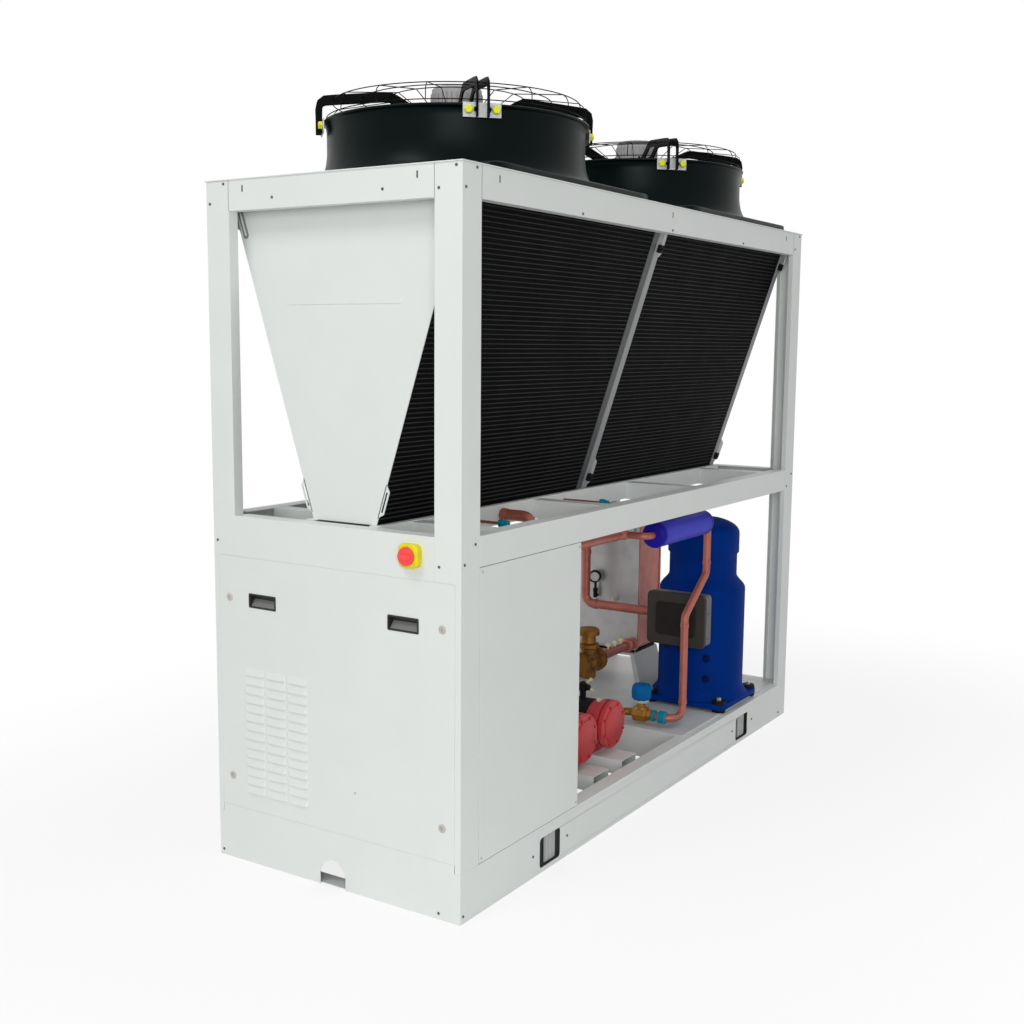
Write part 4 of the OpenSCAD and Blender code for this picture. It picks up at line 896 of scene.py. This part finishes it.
def door_locks():
    """Quarter-turn locks at the door's corners, and one screw."""
    profile = [(13, 0), (13, 2), (11.2, 4), (8, 4.4), (7.4, 3), (0.2, 3)]
    locks, notches = Form(), Form()
    for x in (-437, 437):
        for z in (294, 911):
            point, way = on_end("front", x, z)
            locks.lathe(profile, facing(point, way), 32)
            # The lock's slot is drawn as a darker grey bar: painted shade of the slot.
            notches.prism(rounded(2.2, 11, 1), 0.5, facing(point + offset(0, -3, 0), way, 0.5))
    locks.make("door_locks", LOCK_GREY)
    notches.make("door_lock_slot_shade", HANDLE_PALE)
    screws("door_screw", [on_end("front", 96, 337)], LOCK_GREY, 0.9)


def door_handles():
    """Rims and lined scoops of the door's handle cups."""
    z = middle("panel_handles").z * 1000
    scoop = [(1, -21), (20, -21), (22, -18), (22, 4), (20, 1), (4, -19)]
    loops = [(rounded(119, 48, 5), 0), (rounded(119, 48, 5), 1.5), (rounded(117, 46, 5), 2.2),
             (rounded(109, 38, 3), 2.2), (rounded(108, 37, 3), -12)]
    rims, scoops = Form(), Form()
    for x in (-290, 290):
        point, way = on_end("front", x, z)
        rims.stack(loops, facing(point, way))
        scoops.grid([[(u, y, v) for y, v in scoop] for u in (-54, 54)], point, caps=True)
    rims.make("handle_rims", HANDLE_DARK, slot="handle_grey")
    scoops.make("handle_scoops", HANDLE_PALE, slot="handle_grey", bevel=0.001)


def isolator():
    """Rounded yellow housing with a collar, and the red knob on it: a disc with a grip across."""
    at = middle("isolator_knob")
    place = facing(Vector((at.x, FRONT, at.z)), FORWARD)
    housing = Form().prism(rounded(73, 73, 18), 27, place, 6)
    housing.lathe([(32, 26), (32, 27.6), (30, 27.9), (28.5, 26)], place, 40, caps=False)
    housing.make("isolator_housing", YELLOW, slot="isolator_yellow", replaces=["isolator_plate"])
    knob = Form().lathe([(20, 28.4), (28, 28.4), (28, 36), (26.5, 38), (0.2, 38)], place, 48)
    knob.prism(rounded(46, 15, 6), 9, place @ shift(z=37), 2)
    knob.make("isolator_grip", RED, "isolator_handle", "knob_red", replaces=["isolator_knob"])


def panel_screws():
    """Screws at the corners of the side panels."""
    spots = [on_side(side, back, z) for side in SIDES for back in (112, 700) for z in (176, 1076)]
    screws("panel_screws", spots, BRACKET, 0.9)


frame_screws()
frame_slots()
post_seams()
lift_openings()
arch_flanges()
end_plates()
louvres()
door_gasket()
door_locks()
door_handles()
isolator()
panel_screws()

# Machinery bay

COVER_BACK = 2162.7
SUCTION_X, SUCTION_Z, SUCTION_END = 127, 576.5, 2077.7
MUFFLER_X, MUFFLER_Z = 400, 1012
VALVE_BACK, VALVE_Z = 1700, 207
DRIER_BACKS, DRIER_Z = (1060, 1286), 279
THIN_PIPE = 14.5


def pipe(form, corners, radius, bend, thin=0):
    """A pipe through some corners in millimetres. Its first few points may be thinner."""
    line = bent([mm(*c) for c in corners], bend / 1000)
    radii = [THIN_PIPE] * thin + [radius] * (len(line) - thin)
    return form.tube(line, [r / 1000 for r in radii], 24)


def sleeve(form, at, along, radius, length, edge=0.6):
    """A brazed sleeve or nut round a pipe, with rounded ends."""
    half, neck = length / 2, radius - edge * 2
    profile = [(neck, -half), (radius, -half + edge), (radius, half - edge), (neck, half)]
    return form.lathe(profile, facing(mm(*at), along), 32)


def copper_line(name, corners, radius, bend, sleeves, size, thin=0):
    """A copper line in the place of its CAD piece, with brazed sleeves of one size."""
    form = pipe(Form(), corners, radius, bend, thin)
    for at, along in sleeves:
        sleeve(form, at, along, *size)
    form.make(f"{name}_pipe", COPPER, slot="copper", replaces=[f"{name}_line"])


def hot_gas_pipe():
    """Hot gas line from the muffler to the coils, thinner where it enters the muffler."""
    x, near, far, deck = 280.4, 758, 1428, 1154
    corners = [(MUFFLER_X, 1474, MUFFLER_Z), (MUFFLER_X, far, MUFFLER_Z), (x, far, MUFFLER_Z),
               (x, near, MUFFLER_Z), (x, near, deck), (152.3, near, deck)]
    sleeves = [((x, 1382, MUFFLER_Z), ALONG), ((x, 804, MUFFLER_Z), ALONG), ((166, near, deck), ACROSS)]
    copper_line("hot_gas", corners, 20, 41.4, sleeves, (22.5, 22), thin=12)


def suction_pipe():
    """Suction line from the exchanger to the compressor."""
    x, back, top = -211, 2032, 868
    corners = [(x, COVER_BACK, top), (x, back, top), (x, back, SUCTION_Z), (SUCTION_X, back, SUCTION_Z),
               (SUCTION_X, SUCTION_END, SUCTION_Z)]
    sleeves = [((x, 2150, top), ALONG), ((x, back, 812), UP), ((-158, back, SUCTION_Z), ACROSS)]
    copper_line("suction", corners, 20, 41.4, sleeves, (22.5, 20))


def liquid_pipe():
    """Liquid line from the muffler's far end down to the expansion valve."""
    x, far, near = MUFFLER_X, 2000, 1792
    corners = [(x, 1954.3, MUFFLER_Z), (x, far, MUFFLER_Z), (x, far, 785), (x, near, 629),
               (x, near, VALVE_Z), (x, VALVE_BACK, VALVE_Z), (300.3, VALVE_BACK, VALVE_Z)]
    sleeves = [((x, far, 830), UP), ((x, near, 590), UP), ((x, near, 262), UP)]
    copper_line("liquid", corners, 16, 39.1, sleeves, (18, 16))


def expansion_valve():
    """Brass body with a hexagonal nut, a capped actuator on a banded stem, and its fittings."""
    stem, back, z = 252, VALVE_BACK, VALVE_Z
    body = Form().prism(hexagon(58), 60, facing(mm(stem - 30, back, z), ACROSS), 3)
    body.prism(hexagon(42), 18, facing(mm(stem + 30, back, z), ACROSS), 3)
    body.lathe([(21, 0), (24, 4), (24, 26), (19, 32), (19, 58)], mm(stem, back, z), 32)
    pipe(body, [(stem - 30, back, z), (170, back, z), (170, 1389.3, z)], 16, 36.8)
    body.make("expansion_valve_body", BRASS, slot="brass", sharp=30, replaces=["expansion_valve"])
    band = Form().lathe([(30, 0), (33, 2), (33, 13), (30, 15)], mm(stem, back, 258), 32)
    band.make("actuator_band", BRACKET)
    cap = Form().lathe([(33, 0), (43, 12), (45, 38), (43, 56), (34, 67), (16, 72)], mm(stem, back, 268), 8)
    cap.make("actuator_cap", CAP_BLUE, sharp=20, bevel=0.002)
    nuts = Form()
    for side in (-14, 14):
        nuts.prism(hexagon(12), 6, mm(stem + side, back - 18, z + 24), 1)
    nuts.make("expansion_valve_nuts", SCREW)
    glass = sleeve(Form(), (352, back, z), ACROSS, 26, 34, 3)
    glass.prism(hexagon(44), 14, facing(mm(306, back, z), ACROSS), 2)
    glass.make("sight_glass", TEAL)


def water_valve():
    """Cast valve body with bolted flanges, a bonnet, and the drain knobs on its copper stub."""
    x, back, z = -30, 1739, 384
    barrel = [(30, -78), (54, -78), (54, -60), (38, -54), (40, -34), (52, -14), (52, 14), (40, 34),
              (38, 54), (54, 60), (54, 78), (30, 78)]
    bonnet = [(14, -70), (30, -70), (34, -64), (34, 60), (46, 66), (46, 82), (34, 88), (30, 120),
              (48, 122), (48, 142), (40, 150), (8, 150)]
    body = Form().lathe(barrel, facing(mm(x, back, z), ALONG), 40)
    body.lathe(bonnet, mm(x, back, z), 40)
    body.prism(hexagon(60), 22, facing(mm(x, back + 78, z), ALONG), 3)
    for u, v in ring_of(46, 6, 30):
        body.prism(hexagon(11), 170, facing(mm(x + u, back - 85, z + v), ALONG))
    body.make("water_valve_body", VALVE_BRASS, slot="brass", sharp=30, replaces=["water_valve"])
    stub = Form().tube([mm(x, back + 78, z), mm(x, COVER_BACK, z)], 0.020, 24)
    sleeve(stub, (x, 2100, z), ALONG, 32, 18, 2)
    sleeve(stub, (x, 2152, z), ALONG, 27, 14, 2)
    stub.make("water_stub", COPPER, slot="copper")
    knobs = Form()
    for at in (1922, 1986, 2044):
        knobs.lathe([(4, 0), (4, 12), (11, 14), (12, 22), (9, 28), (2, 29)], mm(x, at, z + 18), 20)
    knobs.make("drain_knobs", CREAM)


def exchanger_cover():
    """Brushed cover over the exchanger's front with its studs, and the pad under it."""
    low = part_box("plate_exchanger")[0]
    at = middle("plate_exchanger")
    wide, tall = face_size("plate_exchanger")
    thick = 4.5
    face = Vector((at.x, low.y, at.z))
    cover = Form().prism(rounded(wide - 8, tall - 8, 28), thick, facing(face, FORWARD), 1.5)
    cover.make("exchanger_cover", COVER_STEEL)
    studs = Form()
    for u in (34 - wide / 2, wide / 2 - 34):
        for v in (42 - tall / 2, tall / 2 - 42):
            studs.prism(hexagon(15), 10, facing(face + offset(u, -thick, v), FORWARD), 1)
    studs.make("exchanger_studs", SCREW)
    pad = Form().prism(rounded(294, 206, 10), 12, Vector((at.x, at.y, low.z - 0.0117)), 1)
    pad.make("exchanger_pad", RUBBER)


def gauge():
    """Pressure gauge on its stem in front of the exchanger's cover, with two pale test stubs."""
    x, back, cover = -218, 2136, 2160
    place = facing(mm(x, back - 8, 684), (0.35, -1, 0))
    case = Form().lathe([(24, -16), (29, -12), (29, 4), (26, 6), (22, 6), (22, 1)], place, 40, caps=False)
    case.lathe([(0.2, -16), (24, -16)], place, 40, caps=False)
    case.tube([mm(x, back, 658), mm(x, back, 628)], 0.006, 12)
    case.prism(hexagon(22), 16, mm(x, back, 612), 1)
    case.tube([mm(x, back, 614), mm(x, back, 584)], 0.010, 12)
    case.tube([mm(x, back, 592), mm(x, cover, 592)], 0.006, 12)
    case.make("gauge_case", RUBBER)
    Form().lathe([(22, 1.5), (0.2, 1.5)], place, 40, caps=False).make("gauge_face", DIAL_WHITE)
    stubs = Form()
    for at, z in ((-228, 572), (-126, 590)):
        stubs.tube([mm(at, back, z), mm(at, back, z - 18)], 0.008, 14)
        stubs.tube([mm(at, back, z - 10), mm(at, cover, z - 10)], 0.005, 12)
    stubs.make("gauge_stubs", CREAM)


def compressor():
    """Shell drawn in above its shoulder under a domed cap, with its foot plate and its suction port."""
    axis = under("compressor")
    shoulder = [(170 + 20 * cos(pi * k / 8), 681 + 66 * k / 8) for k in range(9)]
    dome = [(158 * x, 930 + 70 * z) for x, z in arc(1, 0, 89, 10)]
    shell = Form().lathe([(100, 190), (190, 190)] + shoulder + [(150, 837), (158, 845)] + dome, axis, 96)
    shell.prism(rounded(400, 400, 40), 22, axis + offset(0, 0, 179), 3)
    neck = Vector((axis.x, FRONT + 2.070, middle("terminal_box").z))
    shell.prism(rounded(172, 129, 6), 62, facing(neck, FORWARD))
    shell.tube([mm(SUCTION_X, 2215, SUCTION_Z), mm(SUCTION_X, 2078, SUCTION_Z)], 0.025, 24)
    shell.make("compressor_shell", BLUE, slot="compressor_blue", sharp=45, replaces=["compressor"])


def compressor_feet():
    """Rubber feet with bolts under the compressor's foot plate, and the ring that it stands in."""
    axis = under("compressor")
    bolts, feet = Form(), Form()
    for u in (-166, 166):
        for v in (-166, 166):
            spot = axis + offset(u, v, 165)
            feet.lathe([(30, 0), (31, 40), (28, 50), (8, 50)], spot, 24)
            bolts.prism(hexagon(19), 14, spot + offset(0, 0, 48), 1.5)
    bolts.make("compressor_bolts", SCREW)
    feet.make("compressor_feet", RUBBER)
    profile = [(189, 200), (214, 200), (216, 204), (206, 214), (196, 230), (189, 246)]
    ring = Form().lathe(profile, axis, 96, caps=False)
    ring.make("compressor_foot_ring", BLUE, slot="compressor_blue", sharp=60)


def compressor_ports():
    """Two capped ports low on the compressor's shell."""
    turn = radians(-58.6)
    way = Vector((cos(turn), sin(turn), 0))
    ports = Form()
    for z in (393, 301):
        spot = under("compressor") + 0.189 * way + offset(0, 0, z)
        ports.lathe([(16, 0), (16, 9), (12, 12), (12, 19), (2, 20)], facing(spot, way), 24)
    ports.make("compressor_ports", PORT_BLUE, slot="compressor_blue")


def terminal_box():
    """Grey base, dark lid with a raised panel, side screws and the cable glands under it."""
    low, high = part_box("terminal_box")
    at = middle("terminal_box")
    wide, tall = face_size("terminal_box")
    layers = [("terminal_lid", LID_DARK, 0, 22, 17, 22, 3), ("terminal_panel", PANEL_DARK, 44, 6, 6, 18, 2),
              ("terminal_base", BASE_GREY, 4, 80, 60, 18, 0)]
    for name, look, inset, start, depth, corner, bevel in layers:
        place = facing(Vector((at.x, low.y + start / 1000, at.z)), FORWARD)
        layer = Form().prism(rounded(wide - 2 * inset, tall - 2 * inset, corner), depth, place, bevel)
        hidden = ["terminal_box"] if name == "terminal_lid" else ()
        layer.make(name, look, slot="terminal_black", replaces=hidden)
    spots = [(Vector((high.x - 0.004, high.y - 0.034, z)), ACROSS) for z in (0.50, 0.61)]
    screws("terminal_side_screws", spots, DARK_SCREW)
    glands = Form()
    for u in (-60, 0):
        spot = facing(Vector((at.x + u / 1000, high.y - 0.032, low.z + 0.004)), DOWN)
        glands.prism(hexagon(30), 14, spot, 2)
        glands.lathe([(12, 12), (12, 26), (8, 28)], spot, 20)
    glands.make("terminal_glands", RUBBER)


def driers():
    """Flange bolts, end covers and black sleeves of the red drier shells, and the fittings on top of them."""
    bolts, covers, sleeves, caps = Form(), Form(), Form(), Form()
    for back in DRIER_BACKS:
        face = facing(mm(340, back, DRIER_Z), ACROSS)
        covers.lathe([(70, 0), (70, 3), (66, 5), (0.2, 5)], face, 64)
        for u, v in ring_of(80, 8, 22.5):
            bolts.prism(hexagon(10), 7, face @ shift(u, v), 1)
            bolts.prism(hexagon(10), 60, face @ shift(u, v, -58))
        inner = facing(mm(100, back, DRIER_Z), ACROSS)
        sleeves.lathe([(80, 1), (86.5, 3), (86.5, 153), (80, 155)], inner, 64)
        caps.lathe([(11, 0), (11, 10), (8, 13), (2, 14)], mm(272, back, 361), 20)
    bolts.make("drier_bolts", DRIER_RED, slot="drier_red", sharp=25)
    covers.make("drier_covers", DRIER_RED, slot="drier_red")
    sleeves.make("drier_sleeves", RUBBER)
    caps.make("drier_caps", CREAM)


def service_valve():
    """Small service valve on the second drier, with pale levers."""
    x, back = 200, DRIER_BACKS[1]
    profile = [(12, 360), (12, 392), (17, 396), (17, 424), (11, 430), (2, 431)]
    body = Form().lathe(profile, mm(x, back, 0), 24)
    body.lathe([(10, -30), (12, -28), (12, 28), (10, 30)], facing(mm(x, back, 410), ACROSS), 20)
    body.make("service_valve_body", RUBBER)
    levers = Form()
    root = mm(x, back, 416)
    for turn in (-0.5, 0.7):
        way = Vector((cos(turn), 0.3, sin(turn)))
        levers.tube([root, root + 0.024 * way, root + 0.042 * way], [0.004, 0.005, 0.007], 12)
    levers.make("service_valve_levers", CREAM)


def muffler_ends():
    """Pressed end caps of the muffler."""
    low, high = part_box("muffler")
    at = middle("muffler")
    profile = [(52.6, -26), (52.6, -12), (50, -4), (43, 1.5), (32, 3), (27, 3), (21, 5), (13, 5)]
    caps = Form()
    for end, way in ((low.y, FORWARD), (high.y, ALONG)):
        caps.lathe(profile, facing(Vector((at.x, end, at.z)), way), 64, caps=False)
    caps.make("muffler_caps", DEEP_BLUE, slot="muffler_blue", sharp=60)


def deck_fittings():
    """Small teal fittings with copper tails beside the coils' lower headers."""
    z = 1164
    teal, tails = Form(), Form()
    for side in SIDES.values():
        out = (side, 0, 0)
        for back in (500, 1196):
            teal.prism(hexagon(26), 20, facing(mm(side * 312, back, z), out), 2)
            teal.prism(hexagon(20), 16, facing(mm(side * 332, back, z), out), 2)
            tails.tube([mm(side * 140, back, z), mm(side * 314, back, z)], 0.005, 16)
    teal.make("deck_fittings", TEAL, sharp=25)
    tails.make("deck_tails", COPPER, slot="copper")


hot_gas_pipe()
suction_pipe()
liquid_pipe()
expansion_valve()
water_valve()
exchanger_cover()
gauge()
compressor()
compressor_feet()
compressor_ports()
terminal_box()
driers()
service_valve()
muffler_ends()
deck_fittings()

# Stage

AMBIENT = 0.46
FLOOR_GLOW = 0.8
FLOOR_RINGS, FADE_START, FADE_END = (0.001, 3, 6), 0.4, 2.4
WHITE_LIGHT, FLOOR_WHITE = (1.0, 1.0, 1.0), (0.9, 0.9, 0.9)
# Each lamp's place, the point that it looks at, its size in metres and its power in watts
LAMPS = {"key": ((-0.8, -5.0, 6.2), (0, -0.8, 1.2), 2.0, 95),
         "fill": ((3.7, -6.2, 2.2), (0.3, 0, 1.1), 3.0, 160),
         "top": ((0.4, 0.3, 6.5), (0, 0, 1.5), 3.5, 60)}
EYE = (2.6005, FRONT - 3.0063, 1.7526)
AZIMUTH, ELEVATION, ROLL_ANGLE = radians(32.5797), radians(7.4904), radians(0.4860)
LENS, SENSOR = 44.62, 36.0


def shown(tree):
    """1 where the camera, a mirror or glass looks, and 0 for the light that falls on the object."""
    rays = tree.nodes.new("ShaderNodeLightPath").outputs
    looks = [Socket(tree, rays[name]) for name in ("Is Camera Ray", "Is Glossy Ray", "Is Transmission Ray")]
    total = looks[0] + looks[1] + looks[2]
    return total.node("Clamp", {"Value": total})


def floor_look():
    """White that keeps a soft shadow and fades into the white backdrop round the object."""
    high = cad_bounds[1]
    look = bpy.data.materials.new("floor_white")
    look.use_nodes = True
    tree = look.node_tree
    place = Socket(tree, tree.nodes.new("ShaderNodeTexCoord").outputs["Object"])
    spread = place.node("VectorMath", {0: place}, operation="ABSOLUTE") - (high.x, high.y, 0.0)
    outside = spread.node("VectorMath", {0: spread, 1: (0.0, 0.0, 0.0)}, operation="MAXIMUM")
    distance = outside.node("VectorMath", {0: outside}, output="Value", operation="LENGTH")
    pale = place.node("BsdfDiffuse", {"Color": FLOOR_WHITE})
    glow = place.node("Emission", {"Color": WHITE_LIGHT, "Strength": 1.0})
    near = place.node("MixShader", {0: shown(tree) * FLOOR_GLOW, 1: pale, 2: glow})
    clear = place.node("BsdfTransparent")
    faded = place.node("MixShader", {0: distance.between(FADE_START, FADE_END), 1: near, 2: clear})
    place.put(tree.nodes["Material Output"].inputs["Surface"], faded)
    tree.nodes.remove(tree.nodes["Principled BSDF"])
    return look


def floor():
    """A plain round floor under the object."""
    rings = [[(r * cos(a), r * sin(a), 0) for a in around(96)] for r in FLOOR_RINGS]
    form = Form().grid(rings, unit=METRE)
    mesh = bpy.data.meshes.new("floor")
    mesh.from_pydata(form.points, [], form.faces)
    mesh.materials.append(floor_look())
    made = bpy.data.objects.new("floor", mesh)
    scene.collection.objects.link(made)


def backdrop():
    """White where it is looked at, and a level soft light on the object."""
    world = bpy.data.worlds.new("studio")
    world.use_nodes = True
    scene.world = world
    white = world.node_tree.nodes["Background"]
    seen = shown(world.node_tree)
    seen.put(white.inputs["Color"], WHITE_LIGHT)
    seen.put(white.inputs["Strength"], seen * (1 - AMBIENT) + AMBIENT)


def lamp(name, at, aim, size, power):
    """A square area lamp that looks at a point."""
    light = bpy.data.lights.new(name, "AREA")
    light.shape = "SQUARE"
    light.size = size
    light.energy = power
    made = bpy.data.objects.new(name, light)
    made.location = at
    made.rotation_euler = (Vector(aim) - Vector(at)).to_track_quat("-Z", "Y").to_euler()
    scene.collection.objects.link(made)


def camera():
    """The photograph's viewpoint."""
    across = cos(ELEVATION)
    back = Vector((sin(AZIMUTH) * across, -cos(AZIMUTH) * across, sin(ELEVATION)))
    level = Vector((cos(AZIMUTH), sin(AZIMUTH), 0))
    right = cos(ROLL_ANGLE) * level + sin(ROLL_ANGLE) * back.cross(level)
    axes = Matrix((right, back.cross(right), back)).transposed()
    made = bpy.data.objects.new("camera", bpy.data.cameras.new("camera"))
    made.matrix_world = Matrix.Translation(EYE) @ axes.to_4x4()
    made.data.lens = LENS
    made.data.sensor_width = SENSOR
    scene.collection.objects.link(made)
    scene.camera = made


floor()
backdrop()
for name, settings in LAMPS.items():
    lamp(name, *settings)
camera()
scene.view_settings.view_transform = "Standard"
